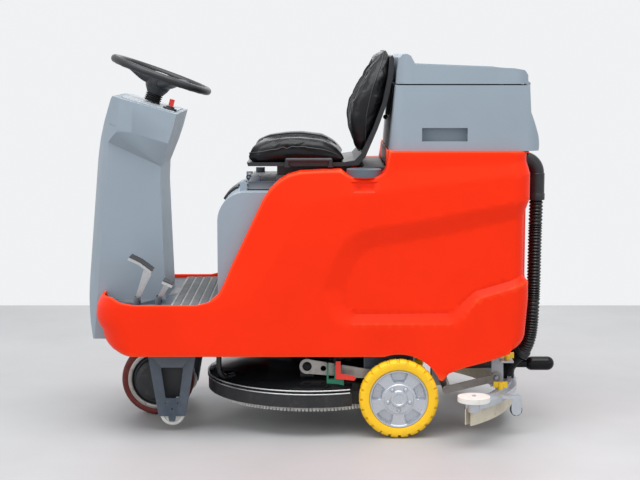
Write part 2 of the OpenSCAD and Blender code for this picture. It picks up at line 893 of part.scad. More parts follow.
module lever_clip() {
    color([0.1, 0.45, 0.35]) difference() {
        union() {
            box([12, -306, 156], [66, -284, 180]);
            box([12, -306, 174], [18, -284, 232]);
            box([36, -306, 174], [60, -288, 226]);
        }
        dome();
        bar_y(48, 190, 5 + running, -320, -270);
    }
}

module deck_lever() {
    color("red") {
        bar_y(48, 190, 5, -312, -280);
        slab([[40, 184], [98, 178], [104, 185], [96, 194], [56, 200], [40, 196]], -312, -307);
        box([40, -312, 194], [56, -307, 240]);
    }
}

// ---- seat ----

module seat_plate() {
    color(dark_steel) {
        difference() {
            union() {
                box([-236, -203, 772], [110, 203, 797]);
                both_sides() {
                    bar_y(-250, 784, 9, 116, 202);
                    box([-250, 116, 779], [-235, 202, 789]);
                }
            }
            both_sides() bar_y(-250, 784, 4 + running, 100, 240);
            box([-226, -193, 770], [100, 193, 793]);
        }
        both_sides() {
            box([-228, 180, 797], [-198, 200, 812]);
            box([-150, 128, 797], [96, 164, 814]);
        }
    }
}

function shell_back() = [[232 - 14, 1194], [224, 1180], [219, 1130], [210, 1080], [200, 1039],
    [172, 962], [134, 874], [112, 850], [60, 846]];

module seat_shell() {
    color(black) {
        slab(concat(shell_back(), [[-236, 846], [-240, 858], [60, 858], [100, 864], [120, 885],
            [158, 966], [187, 1045], [205, 1130], [212, 1190]]), -back_w / 2, back_w / 2);
        both_sides() {
            box([-146, 132, 814.5], [92, 160, 846]);
            hip_bar();
        }
    }
}

module hip_bar() {
    y = 250;
    translate([-112, y, 868]) rotate([0, 90, 0]) cylinder(r = 7, h = 136, $fn = 32);
    for (x = [-112, 24]) {
        translate([x, y, 848]) cylinder(r = 7, h = 20, $fn = 32);
        translate([x, y, 868]) sphere(r = 7, $fn = 32);
        box([x - 8, 200, 846], [x + 8, y + 7, 851]);
    }
}

module seat_cushion() {
    color([0.08, 0.08, 0.09]) slab([[-240, 858], [-247, 885], [-238, 903], [-180, 922],
        [-74, 933], [-2, 926], [52, 897], [76, 876], [76, 862], [60, 858.3]], -seat_w / 2, seat_w / 2);
}

module seat_backrest() {
    color([0.08, 0.08, 0.09]) slab([[104, 880], [96, 905], [84, 950], [77, 999], [85, 1047],
        [110, 1098], [143, 1160], [180, 1212], [200, 1222], [212, 1212], [212, 1190],
        [205, 1130], [187, 1045], [158, 966], [120, 885], [112, 877]], -back_w / 2, back_w / 2);
}

// ---- squeegee ----

module squeegee_yoke() {
    color(steel) {
        translate([yoke_x, 0, 200]) cylinder(r = 12, h = 60);
        box([yoke_x - 16, -36, 100], [yoke_x + 34, 36, 225]);
        bar_y(yoke_pivot[0], yoke_pivot[1], 14, -146, 146);
        bar_y(yoke_pivot[0], yoke_pivot[1], 8, -158, 158);
    }
}

module squeegee_arms() {
    span = carriage_pivot - yoke_pivot;
    color(steel) both_sides() translate([yoke_pivot[0], 154, yoke_pivot[1]]) rotate([90, 0, 0])
        rotate([0, 0, atan2(span[1], span[0])]) linear_extrude(height = 7.5) difference() {
            union() {
                circle(r = 15);
                translate([norm(span), 0]) circle(r = 18);
                translate([0, -12]) square([norm(span), 24]);
            }
            circle(r = 8 + running);
            translate([norm(span), 0]) circle(r = 12);
        }
}

module arc_band(r0, r1, half_angle) {
    intersection() {
        difference() {
            circle(r = r1, $fn = 180);
            circle(r = r0, $fn = 180);
        }
        polygon([[0, 0], 900 * [cos(half_angle), sin(half_angle)], [900, 0],
            900 * [cos(half_angle), -sin(half_angle)]]);
    }
}

module squeegee_body() {
    a = squeegee_half_angle;
    color([0.62, 0.63, 0.64]) {
        difference() {
            union() {
                translate([arc_x, 0, 108]) linear_extrude(height = 20)
                    arc_band(squeegee_r - 28, squeegee_r + 22, a);
                translate([arc_x, 0, 128]) linear_extrude(height = 8)
                    arc_band(squeegee_r - 10, squeegee_r + 4, a - 2);
                both_sides() {
                    translate([roller_c[0], roller_c[1], 108]) cylinder(r = 18, h = 32);
                    box([roller_c[0] - 14, 390, 108], [roller_c[0] + 14, 430, 128]);
                }
            }
            translate([612, -30, 100]) cylinder(r = 20, h = 60);
            translate([612, -30, 128]) cylinder(r = port_r + 2, h = 30);
        }
        both_sides() {
            translate([roller_c[0], roller_c[1], 140]) cylinder(r = 6 - running, h = 20);
            // carriage ears that the arms hold
            slab([[548, 120], [552, 214], [616, 214], [616, 208], [588, 204], [590, 120]], 132, 140);
            box([575, 140, 208], [616, 186, 214]);
            bar_y(carriage_pivot[0], carriage_pivot[1], 6, 140, 158);
            // castor arms
            slab([[598, 127], [626, 127], [628, 80], [624, 68], [612, 63], [600, 68], [596, 80]], 298, 304);
            box([560, 280, 118], [626, 304, 127]);
            bar_y(castor_c[0], 80, 4, 279, 298);
        }
    }
}

module squeegee_blades() {
    a = squeegee_half_angle + 1;
    color([0.8, 0.74, 0.62]) for (r = [squeegee_r, squeegee_r - 22])
        translate([arc_x, 0, blade_z]) linear_extrude(height = 108 - blade_z)
            arc_band(r, r + 4, a);
}

module suction_port() {
    color(black) {
        translate([612, -30, 128]) cylinder(r = port_r, h = 8);
        sweep(smooth(port_path, 4), port_r, 16);
        translate([640, -48, 178]) rotate([0, 90, 0]) cylinder(r = 14, h = 56);
        translate([694, -48, 178]) rotate([0, 90, 0]) cylinder(r = 23, h = 51);
        translate([694, -48, 178]) sphere(r = 23);
        translate([745, -48, 178]) sphere(r = 23);
    }
}

module guide_roller() {
    color([0.9, 0.9, 0.88]) translate([roller_c[0], roller_c[1], 141]) difference() {
        cylinder(r = guide_roller_d / 2, h = 15);
        translate([0, 0, -1]) cylinder(r = 6, h = 20);
    }
}

module guide_roller_right() {
    guide_roller();
}

module guide_roller_left() {
    mirror([0, 1, 0]) guide_roller();
}

module castor() {
    color([0.2, 0.2, 0.21]) translate([castor_c[0], 281, 80]) rotate([-90, 0, 0]) difference() {
        cylinder(r = 19, h = 16);
        translate([0, 0, -1]) cylinder(r = 4 + running, h = 20);
    }
}

module castor_right() {
    castor();
}

module castor_left() {
    mirror([0, 1, 0]) castor();
}

module wing_knob() {
    cylinder(r = 9, h = 22);
    box([-22, -4, 6], [22, 4, 24]);
}

module wing_knobs() {
    color([0.95, 0.78, 0.05]) both_sides() {
        translate([567, 246, 136]) wing_knob();
        translate([597, 164, 214]) wing_knob();
    }
}

main_frame();
solution_tank();
platform_plate();
floor_mat();
battery_pack();
seat_console();
console_grip();
column_cowl();
column_panel();
column_bellows();
key_switch_base();
key_lever();
steering_wheel();
steering_hub();
upper_shaft();
lower_shaft();
steering_chain();
accelerator_pedal();
brake_pedal();
drive_fork();
drive_motor();
drive_hub();
drive_tyre();
tip_bracket_left();
tip_bracket_right();
tip_roller_left();
tip_roller_right();
rear_rim_left();
rear_rim_right();
rear_tyre_left();
rear_tyre_right();
filler_cap();
recovery_tank();
recovery_lid();
vacuum_motor();
lid_strap();
hose_elbow();
suction_hose();
deck_cover();
deck_skirt();
brush_motor();
brush_disc();
brush_bristles();
deck_arms();
lever_clip();
deck_lever();
seat_plate();
seat_shell();
seat_cushion();
seat_backrest();
squeegee_yoke();
squeegee_arms();
squeegee_body();
squeegee_blades();
suction_port();
guide_roller_left();
guide_roller_right();
castor_left();
castor_right();
wing_knobs();
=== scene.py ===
# Ride-on floor scrubber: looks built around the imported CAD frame.
# Shapes are written in millimetres and turned into metres when a mesh is made.
import json
import math

import bmesh
import bpy
import numpy as np
from mathutils import Matrix, Vector
from mathutils.geometry import delaunay_2d_cdt


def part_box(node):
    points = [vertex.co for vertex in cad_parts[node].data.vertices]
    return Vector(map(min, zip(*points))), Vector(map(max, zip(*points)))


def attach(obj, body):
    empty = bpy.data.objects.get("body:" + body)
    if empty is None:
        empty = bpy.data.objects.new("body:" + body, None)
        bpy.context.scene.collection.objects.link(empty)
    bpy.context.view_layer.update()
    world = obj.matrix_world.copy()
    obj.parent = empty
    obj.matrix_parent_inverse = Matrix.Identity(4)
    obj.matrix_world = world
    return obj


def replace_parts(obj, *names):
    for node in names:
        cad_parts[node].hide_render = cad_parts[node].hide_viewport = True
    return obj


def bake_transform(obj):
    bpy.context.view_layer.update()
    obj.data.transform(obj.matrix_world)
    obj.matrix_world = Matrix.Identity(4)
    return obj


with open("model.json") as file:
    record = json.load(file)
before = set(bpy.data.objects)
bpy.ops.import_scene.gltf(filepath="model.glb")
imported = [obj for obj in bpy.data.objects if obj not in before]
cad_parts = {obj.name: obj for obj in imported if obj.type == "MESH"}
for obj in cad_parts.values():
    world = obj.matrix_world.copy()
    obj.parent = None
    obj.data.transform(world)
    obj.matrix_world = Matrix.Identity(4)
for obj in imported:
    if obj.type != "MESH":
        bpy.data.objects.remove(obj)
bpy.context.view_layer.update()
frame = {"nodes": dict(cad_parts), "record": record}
MM = 0.001
pi = math.pi

# ---------------------------------------------------------------- camera, light, stage

cam_data = bpy.data.cameras.new("camera")
cam_data.lens = 82.5
cam_data.sensor_width = 36
cam = bpy.data.objects.new("camera", cam_data)
cam.location = (-0.009, -4.83, 1.203)
cam.rotation_euler = (math.radians(82.7), 0, 0)
bpy.context.collection.objects.link(cam)
bpy.context.scene.camera = cam


def area_light(name, at, look, size, watts, tint=(1, 1, 1)):
    data = bpy.data.lights.new(name, "AREA")
    data.shape = "RECTANGLE"
    data.size, data.size_y = size
    data.energy = watts
    data.color = tint
    lamp = bpy.data.objects.new(name, data)
    lamp.location = at
    lamp.rotation_euler = (Vector(look) - Vector(at)).to_track_quat("-Z", "Y").to_euler()
    bpy.context.collection.objects.link(lamp)


area_light("overhead", (0, -0.9, 3.4), (0, -0.1, 0.4), (3.6, 2.4), 112)
area_light("front_left", (-3.2, -3.4, 2.6), (-0.2, 0, 0.6), (2.0, 2.0), 26)
area_light("front_right", (3.4, -3.2, 1.9), (0.3, 0, 0.6), (2.2, 2.4), 8)
area_light("behind", (0.6, 3.4, 2.4), (0, 0, 0.8), (3.0, 2.0), 22)

world = bpy.data.worlds.new("studio")
bpy.context.scene.world = world
world.use_nodes = True
world.node_tree.nodes["Background"].inputs[0].default_value = (0.97, 0.98, 1.0, 1)
world.node_tree.nodes["Background"].inputs[1].default_value = 0.9
bpy.context.scene.view_settings.view_transform = "Standard"
bpy.context.scene.view_settings.look = "None"

# ---------------------------------------------------------------- materials


def srgb(r, g, b):
    return tuple((c / 255 / 12.92) if c <= 10 else ((c / 255 + 0.055) / 1.055) ** 2.4 for c in (r, g, b))


class Tree:
    """A material's nodes, with short calls for the ones used here."""

    def __init__(self, name):
        self.mat = bpy.data.materials.new(name)
        self.mat.use_nodes = True
        self.nodes = self.mat.node_tree.nodes
        self.links = self.mat.node_tree.links
        self.bsdf = self.nodes["Principled BSDF"]
        self.place = self.nodes.new("ShaderNodeTexCoord").outputs["Object"]

    def link(self, a, b):
        self.links.new(a, b)

    def noise(self, scale, detail=3.0, rough=0.55, stretch=None):
        n = self.nodes.new("ShaderNodeTexNoise")
        n.inputs["Scale"].default_value = scale
        n.inputs["Detail"].default_value = detail
        n.inputs["Roughness"].default_value = rough
        self.link(self.stretched(stretch), n.inputs["Vector"])
        return n.outputs["Fac"]

    def cells(self, scale, feature="F1", stretch=None):
        n = self.nodes.new("ShaderNodeTexVoronoi")
        n.feature = feature
        n.inputs["Scale"].default_value = scale
        self.link(self.stretched(stretch), n.inputs["Vector"])
        return n.outputs["Distance"]

    def stretched(self, stretch):
        if stretch is None:
            return self.place
        m = self.nodes.new("ShaderNodeMapping")
        m.inputs["Scale"].default_value = stretch
        self.link(self.place, m.inputs["Vector"])
        return m.outputs["Vector"]

    def span(self, value, low, high, a=0.3, b=0.7):
        n = self.nodes.new("ShaderNodeMapRange")
        n.inputs["From Min"].default_value = a
        n.inputs["From Max"].default_value = b
        n.inputs["To Min"].default_value = low
        n.inputs["To Max"].default_value = high
        self.link(value, n.inputs["Value"])
        return n.outputs["Result"]

    def blend(self, fac, a, b):
        n = self.nodes.new("ShaderNodeMix")
        n.data_type = "RGBA"
        self.link(fac, n.inputs["Factor"])
        for socket, c in ((n.inputs[6], a), (n.inputs[7], b)):
            if isinstance(c, tuple):
                socket.default_value = (*c, 1)
            else:
                self.link(c, socket)
        return n.outputs[2]

    def bump(self, height, strength, distance, after=None):
        n = self.nodes.new("ShaderNodeBump")
        n.inputs["Strength"].default_value = strength
        n.inputs["Distance"].default_value = distance
        self.link(height, n.inputs["Height"])
        if after is not None:
            self.link(after, n.inputs["Normal"])
        self.link(n.outputs["Normal"], self.bsdf.inputs["Normal"])
        return n.outputs["Normal"]

    def edges(self, low=0.52, high=0.6):
        g = self.nodes.new("ShaderNodeNewGeometry")
        return self.span(g.outputs["Pointiness"], 0, 1, low, high)


def finish(name, colour, rough, metal=0.0, spread=0.06, blotch=7, grain=1400, grain_depth=0.00006,
           swing=0.05, coat=0.0, specular=0.5, dust=None, wear_and_highlight=None, wear_and_highlight_at=(0.53, 0.62), leather=False,
           brushed=None, hollow=None):
    """A surface with uneven colour, gloss and grain, and optional dust, lighter edges that are real wear on
    some finishes and a painted highlight on others, and hollows darkened as painted shade.
    """
    t = Tree(name)
    dark = tuple(c * (1 - spread) for c in colour)
    light = tuple(min(1, c * (1 + spread) + spread * 0.01) for c in colour)
    base = t.blend(t.span(t.noise(blotch, 4), 0, 1), dark, light)
    if dust:
        base = t.blend(t.span(t.noise(blotch * 2.6, 6, 0.7), 0, 0.5, 0.52, 0.8), base, dust)
    # edges found by pointiness are lightened: real wear on the frame paint and zinc, a painted highlight on
    # the orange body's ridges
    if wear_and_highlight:
        base = t.blend(t.edges(*wear_and_highlight_at), base, wear_and_highlight)
    # painted shade: concave creases found by pointiness are darkened
    if hollow:
        base = t.blend(t.edges(0.49, 0.455), base, hollow)
    t.link(base, t.bsdf.inputs["Base Color"])
    t.link(t.span(t.noise(blotch * 3, 5, 0.6), rough - swing, rough + swing), t.bsdf.inputs["Roughness"])
    t.bsdf.inputs["Metallic"].default_value = metal
    t.bsdf.inputs["Coat Weight"].default_value = coat
    t.bsdf.inputs["Coat Roughness"].default_value = 0.15
    t.bsdf.inputs["Specular IOR Level"].default_value = specular
    if leather:
        first = t.bump(t.cells(grain, "DISTANCE_TO_EDGE"), 0.25, 0.0003)
        t.bump(t.noise(60, 3), 0.15, 0.002, first)
    elif brushed:
        t.bump(t.noise(grain, 2, 0.5, brushed), 0.25, grain_depth)
    else:
        first = t.bump(t.noise(grain, 2, 0.6), 0.4, grain_depth)
        t.bump(t.noise(34, 2), 0.08, 0.0012, first)
    return t.mat


ORANGE = srgb(243, 45, 4)
GREY = srgb(139, 152, 163)
M = {
    # orange body: its lighter edges are a painted highlight and its darker hollows are painted shade, both
    # to bring out the relief
    "orange": finish("orange_body", ORANGE, 0.42, spread=0.035, blotch=5, grain=900, grain_depth=0.00008,
                     specular=0.14, wear_and_highlight=srgb(255, 92, 44), wear_and_highlight_at=(0.515, 0.57), hollow=srgb(206, 34, 4)),
    "grey": finish("grey_moulded", GREY, 0.5, spread=0.03, blotch=5, grain=1500, grain_depth=0.0001),
    "panel": finish("panel_grey", srgb(160, 168, 174), 0.46, spread=0.03, grain=1700),
    "frame": finish("chassis_paint", srgb(50, 64, 80), 0.42, spread=0.16, blotch=16, grain=500,
                    dust=srgb(96, 98, 98), wear_and_highlight=srgb(120, 124, 128)),
    "mat": finish("mat_rubber", srgb(98, 101, 105), 0.62, spread=0.14, blotch=22, grain=900,
                  dust=srgb(128, 127, 124), grain_depth=0.0003),
    "case": finish("battery_case", srgb(40, 42, 46), 0.5, spread=0.1, grain=700),
    "black": finish("black_plastic", srgb(34, 36, 40), 0.4, spread=0.12, blotch=9, grain=1300,
                    dust=srgb(60, 62, 64)),
    "rubber": finish("black_rubber", srgb(30, 31, 34), 0.55, spread=0.15, blotch=14, grain=1100,
                     dust=srgb(70, 70, 68)),
    "red": finish("red_plastic", srgb(214, 44, 30), 0.32, spread=0.06, blotch=20, coat=0.2),
    "green": finish("green_plastic", srgb(24, 112, 84), 0.36, spread=0.08, blotch=20),
    "cap": finish("cap_plastic", srgb(84, 94, 104), 0.45, spread=0.08, blotch=18, grain=900),
    "steel": finish("machined_steel", srgb(176, 172, 168), 0.36, metal=0.55, spread=0.12, blotch=20,
                    grain=420, grain_depth=0.0002, brushed=(1, 12, 1), dust=srgb(96, 92, 86)),
    "zinc": finish("zinc_plate", srgb(186, 188, 190), 0.3, metal=0.85, spread=0.1, blotch=30,
                   grain=600, wear_and_highlight=srgb(230, 230, 230)),
    "cast": finish("cast_housing", srgb(38, 40, 44), 0.48, spread=0.2, blotch=18, grain=380,
                   grain_depth=0.0003, dust=srgb(84, 82, 78)),
    "maroon": finish("maroon_tyre", srgb(104, 30, 26), 0.6, spread=0.16, blotch=18, grain=600,
                     dust=srgb(120, 92, 80), grain_depth=0.0003),
    "yellow_tyre": finish("yellow_tyre", srgb(250, 198, 16), 0.5, spread=0.05, blotch=14, grain=700,
                          dust=srgb(216, 176, 60), grain_depth=0.0002),
    "silver": finish("rim_paint", srgb(196, 201, 208), 0.3, metal=0.6, spread=0.05, blotch=10, grain=900),
    "white": finish("white_plastic", srgb(226, 226, 220), 0.4, spread=0.05, blotch=20,
                    dust=srgb(176, 172, 162)),
    "plate": finish("brush_plate", srgb(58, 60, 64), 0.5, spread=0.1),
    "bristle": finish("nylon_bristle", srgb(232, 233, 228), 0.55, spread=0.2, blotch=60, grain=900,
                      brushed=(8, 8, 1)),
    "vinyl": finish("seat_vinyl", srgb(12, 13, 16), 0.36, spread=0.12, blotch=9, grain=420,
                    coat=0.04, specular=0.28, leather=True),
    "deck": finish("deck_gloss_black", srgb(17, 18, 20), 0.2, spread=0.15, blotch=8, grain=700,
                   dust=srgb(34, 34, 34), specular=0.2, coat=0.03),
    "hose": finish("hose_black", srgb(20, 21, 23), 0.3, spread=0.12, blotch=14, grain=900,
                   dust=srgb(52, 52, 50)),
    # the mat bed's light grey is a painted highlight standing for light caught on the mat's ribs; its
    # patches are dust
    "mat_bed": finish("mat_bed", srgb(150, 150, 147), 0.75, spread=0.16, blotch=26, grain=800,
                      dust=srgb(112, 108, 100)),
    "tube_red": finish("tube_red", srgb(112, 18, 22), 0.4, spread=0.12, blotch=22, coat=0.15),
    "wheel_grip": finish("wheel_grip", srgb(33, 34, 38), 0.42, spread=0.1, blotch=12, grain=650,
                         grain_depth=0.00022),
    "piping": finish("seat_piping", srgb(34, 35, 40), 0.35, spread=0.1, blotch=30, grain=900),
    "alloy": finish("squeegee_alloy", srgb(190, 195, 202), 0.4, metal=0.35, spread=0.1, blotch=16,
                    grain=420, grain_depth=0.0002, dust=srgb(110, 106, 98)),
    "blade": finish("blade_rubber", srgb(212, 204, 184), 0.55, spread=0.08, blotch=18, grain=700,
                    dust=srgb(150, 134, 104)),
    "yellow": finish("yellow_plastic", srgb(248, 204, 24), 0.35, spread=0.04, blotch=26, coat=0.15),
    "pad": finish("pedal_pad", srgb(46, 46, 48), 0.7, spread=0.12, blotch=30, grain=800),
}

SLOT_LOOK = {
    "orange_shell": "orange", "grey_shell": "grey", "panel": "panel", "frame_paint": "frame",
    "mat_rubber": "mat", "battery_case": "case", "black_plastic": "black", "black_rubber": "rubber",
    "red_plastic": "red", "green_plastic": "green", "cap_plastic": "cap", "steel": "steel",
    "zinc_plate": "zinc", "cast_housing": "cast", "maroon_tyre": "maroon", "yellow_tyre": "yellow_tyre",
    "silver_rim": "silver", "white_plastic": "white", "brush_plate": "plate", "bristle": "bristle",
    "vinyl": "vinyl", "squeegee_metal": "alloy", "blade_rubber": "blade", "castor_rubber": "rubber",
    "yellow_plastic": "yellow",
}
node_slot = {s["node"]: s["material_slot"] for s in frame["record"]["subparts"]}
for node, obj in frame["nodes"].items():
    obj.data.materials.clear()
    obj.data.materials.append(M[SLOT_LOOK[node_slot[node]]])
node_body = {n: b for b, ns in frame["record"]["behaviour"]["bodies"].items() for n in ns}

# ---------------------------------------------------------------- mesh helpers


def piece(name, verts, faces, look, body, slot, smooth=40, scale=MM):
    """A mesh object from points in millimetres, riding on a body."""
    mesh = bpy.data.meshes.new(name)
    mesh.from_pydata([tuple(c * scale for c in v) for v in verts], [], faces)
    mesh.validate()
    return place(name, mesh, look, body, smooth)


def place(name, mesh, look, body, smooth=40):
    obj = bpy.data.objects.new(name, mesh)
    bpy.context.collection.objects.link(obj)
    mesh.materials.clear()
    mesh.materials.append(M[look])
    soften(mesh, smooth)
    if body:
        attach(obj, body)
    return obj


def soften(mesh, angle):
    bm = bmesh.new()
    bm.from_mesh(mesh)
    bmesh.ops.remove_doubles(bm, verts=bm.verts, dist=1e-6)
    bmesh.ops.recalc_face_normals(bm, faces=bm.faces)
    bm.to_mesh(mesh)
    bm.free()
    for p in mesh.polygons:
        p.use_smooth = True
    mesh.set_sharp_from_angle(angle=math.radians(angle))


def modifier(obj, kind, **values):
    m = obj.modifiers.new(kind.lower(), kind)
    for k, v in values.items():
        setattr(m, k, v)
    return m


def rounded(obj, width, segments=3, angle=30):
    """Rounds the edges of a hard shape, in millimetres."""
    modifier(obj, "BEVEL", width=width * MM, segments=segments, limit_method="ANGLE",
             angle_limit=math.radians(angle), miter_outer="MITER_ARC")
    modifier(obj, "WEIGHTED_NORMAL", keep_sharp=True)


def cad_copy(node, width=0, segments=3, angle=30, look=None, name=None, flat=True):
    """A copy of a CAD node with its flat faces joined up and its edges rounded, standing for it."""
    mesh = frame["nodes"][node].data.copy()
    bm = bmesh.new()
    bm.from_mesh(mesh)
    bmesh.ops.remove_doubles(bm, verts=bm.verts, dist=2e-6)
    if flat:
        bmesh.ops.dissolve_limit(bm, angle_limit=math.radians(0.6), verts=bm.verts, edges=bm.edges)
    bm.to_mesh(mesh)
    bm.free()
    slot = node_slot[node]
    obj = place(name or node + "_shell", mesh, look or SLOT_LOOK[slot], node_body[node], 32)
    if width:
        rounded(obj, width, segments, angle)
    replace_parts(obj, node)
    return obj


def plate(outline, holes, y0, y1):
    """A flat plate with holes, drawn in X and Z, from y0 to y1."""
    points, edges = [], []
    for ring in [outline] + holes:
        start = len(points)
        points += [Vector(p) for p in ring]
        edges += [(start + i, start + (i + 1) % len(ring)) for i in range(len(ring))]
    flat, _, tris, _, _, _ = delaunay_2d_cdt(points, edges, [], 1, 1e-5)
    middle = [sum((flat[i] for i in t), Vector((0, 0))) / 3 for t in tris]
    keep = inside([tuple(m) for m in middle], outline)
    for hole in holes:
        keep &= ~inside([tuple(m) for m in middle], hole)
    tris = [t for t, ok in zip(tris, keep) if ok]
    n = len(flat)
    verts = [(v.x, y, v.y) for y in (y0, y1) for v in flat]
    faces = [list(t) for t in tris] + [[i + n for i in reversed(t)] for t in tris]
    once = {}
    for t in tris:
        for i in range(3):
            a, b = t[i], t[(i + 1) % 3]
            once[tuple(sorted((a, b)))] = None if tuple(sorted((a, b))) in once else (a, b)
    faces += [[e[1], e[0], e[0] + n, e[1] + n] for e in once.values() if e]
    return verts, faces


def arc(cx, cy, r, a0, a1, n):
    return [(cx + r * math.cos(math.radians(a0 + (a1 - a0) * i / n)),
             cy + r * math.sin(math.radians(a0 + (a1 - a0) * i / n))) for i in range(n + 1)]


def prism(points, y0, y1):
    """Vertices and faces of a side-view outline carried from y0 to y1."""
    n = len(points)
    verts = [(x, y, z) for y in (y0, y1) for x, z in points]
    faces = [list(range(n)), list(range(2 * n - 1, n - 1, -1))]
    faces += [[i, (i + 1) % n, n + (i + 1) % n, n + i] for i in range(n)]
    return verts, faces


def lathe(profile, steps, closed=False, wobble=None):
    """A profile of (radius, height) turned about +Z; wobble(angle, radius, height) moves points out."""
    verts, faces = [], []
    n = len(profile)
    for i in range(steps):
        a = 2 * pi * i / steps
        for r, h in profile:
            grow = wobble(a, r, h) if wobble else 0
            verts.append(((r + grow) * math.cos(a), (r + grow) * math.sin(a), h))
    last = n if closed else n - 1
    for i in range(steps):
        j = (i + 1) % steps
        for k in range(last):
            m = (k + 1) % n
            faces.append([i * n + k, j * n + k, j * n + m, i * n + m])
    return verts, faces


def box_mesh(lo, hi):
    (a, b, c), (d, e, f) = lo, hi
    verts = [(x, y, z) for x in (a, d) for y in (b, e) for z in (c, f)]
    faces = [[0, 1, 3, 2], [4, 6, 7, 5], [0, 4, 5, 1], [2, 3, 7, 6], [0, 2, 6, 4], [1, 5, 7, 3]]
    return verts, faces


def joined(parts):
    """Several (verts, faces) as one."""
    verts, faces = [], []
    for v, f in parts:
        faces += [[i + len(verts) for i in g] for g in f]
        verts += v
    return verts, faces


def moved(part, matrix):
    return [tuple(matrix @ Vector(v)) for v in part[0]], part[1]


def tube(route, radius, sides=12, caps=True):
    """A round tube along points; radius is a number or a function of the ring's index."""
    pts = [Vector(p) for p in route]
    verts, faces = [], []
    side = None
    for i, p in enumerate(pts):
        t = (pts[min(i + 1, len(pts) - 1)] - pts[max(i - 1, 0)]).normalized()
        if side is None:
            side = t.orthogonal().normalized()
        side = (side - t * side.dot(t)).normalized()
        up = t.cross(side)
        r = radius(i) if callable(radius) else radius
        for k in range(sides):
            a = 2 * pi * k / sides
            verts.append(tuple(p + (side * math.cos(a) + up * math.sin(a)) * r))
    for i in range(len(pts) - 1):
        for k in range(sides):
            m = (k + 1) % sides
            faces.append([i * sides + k, i * sides + m, (i + 1) * sides + m, (i + 1) * sides + k])
    if caps:
        faces.append(list(range(sides))[::-1])
        faces.append([(len(pts) - 1) * sides + k for k in range(sides)])
    return verts, faces


def curve_points(points, steps):
    """A smooth curve through points."""
    p = [Vector(q) for q in points]
    out = []
    for i in range(len(p) - 1):
        a, b, c, d = p[max(i - 1, 0)], p[i], p[i + 1], p[min(i + 2, len(p) - 1)]
        for j in range(steps):
            t = j / steps
            out.append(0.5 * (2 * b + (c - a) * t + (2 * a - 5 * b + 4 * c - d) * t * t
                              + (3 * b - a - 3 * c + d) * t ** 3))
    return out + [p[-1]]


def interp(table, x):
    xs, ys = zip(*table)
    return float(np.interp(x, xs, ys))


def smoothstep(x, a, b):
    t = min(1, max(0, (x - a) / (b - a)))
    return t * t * (3 - 2 * t)


# ---------------------------------------------------------------- orange body

HALF = 330          # half width of the body
FRONT_R = 130       # plan radius of the front corners
REAR_R = 60         # plan radius of the rear corners
APRON_Y = 158       # half width of the gap that the column fills
FRONT_X = -724
REAR_X = 645
U_CORNER = HALF - FRONT_R - APRON_Y                          # length along the skin where the corner starts
U_SIDE = U_CORNER + FRONT_R * pi / 2                         # where the straight side starts
U_BACK = U_SIDE + (REAR_X - REAR_R) - (FRONT_X + FRONT_R)    # where the side ends
U_REAR = U_BACK + REAR_R * pi / 2                            # where the rear face starts
U_END = U_REAR + HALF - REAR_R

TOP_LINE = [(-680, 441), (-640, 428), (-590, 421), (-394, 421), (-353, 431), (-325, 455), (-308, 489),
            (-285, 543), (-218, 683), (-185, 752), (-165, 782), (-137, 808), (-108, 826), (-72, 836),
            (0, 840)]
SCOOP = arc(128, 923, 109, 229, 311, 10)
SHOULDER = [(-254, 372), (-194, 501), (-132, 592), (-79, 720), (-17, 746), (103, 766), (629, 830)]
BLOCK_CREASE = [(209, 843), (628, 867)]
PANEL_OUT = [(630, 749), (304, 686), (130, 659), (76, 632), (35, 564), (-2, 468), (23, 386), (56, 360),
             (421, 360), (488, 442), (635, 489)]
PANEL_IN = [(631, 699), (371, 639), (144, 598), (104, 564), (67, 468), (70, 421), (97, 390), (400, 393),
            (474, 462), (628, 510)]
POCKET_OUT = [(84, 806), (94, 772), (162, 772), (172, 806)]
POCKET_IN = [(92, 802), (100, 778), (156, 778), (164, 802)]
PANEL_DEPTH = 18
SHOULDER_INSET = 12
POCKET_DEPTH = 4
FRONT_INSET = [(327, 22), (345, 9), (372, 0), (410, 4), (440, 18)]
REAR_INSET = [(330, 8), (345, 7), (430, 0)]
ROUND = [(-360, 5), (-330, 10), (150, 10), (206, 6)]         # rounding of the top edge along X
LEDGE = [(-360, 11), (-345, 45), (-165, 45), (-155, 94), (212, 94), (240, 45)]
WALL = [(-360, 32), (-345, 60), (-165, 60), (-155, 150), (212, 150), (240, 20)]


def along(x):
    """Length along the skin where the side view's X is reached."""
    if x < FRONT_X + FRONT_R:
        return U_CORNER + FRONT_R * math.acos(max(-1, min(1, (FRONT_X + FRONT_R - x) / FRONT_R)))
    if x > REAR_X - REAR_R:
        return U_BACK + REAR_R * math.asin(min(1, (x - REAR_X + REAR_R) / REAR_R))
    return U_SIDE + x - FRONT_X - FRONT_R


def plan(u):
    """Plan point and outward direction on the near side at a length along the skin."""
    if u <= U_CORNER:
        return (FRONT_X, -APRON_Y - u), (-1, 0)
    if u <= U_SIDE:
        a = (u - U_CORNER) / FRONT_R
        n = (-math.cos(a), -math.sin(a))
        return (FRONT_X + FRONT_R + FRONT_R * n[0], -HALF + FRONT_R + FRONT_R * n[1]), n
    if u <= U_BACK:
        return (FRONT_X + FRONT_R + u - U_SIDE, -HALF), (0, -1)
    if u <= U_REAR:
        a = (u - U_BACK) / REAR_R
        n = (math.sin(a), -math.cos(a))
        return (REAR_X - REAR_R + REAR_R * n[0], -HALF + REAR_R + REAR_R * n[1]), n
    return (REAR_X, -HALF + REAR_R + u - U_REAR), (1, 0)


def end_inset(z, front):
    """How far the front or rear end leans in from its widest at a height."""
    if front:
        if z < 327:
            return 92 - math.sqrt(max(0, 70 ** 2 - (327 - z) ** 2))
        return interp(FRONT_INSET, z)
    if z < 330:
        return 63 - math.sqrt(max(0, 55 ** 2 - (330 - z) ** 2))
    return interp(REAR_INSET, z)


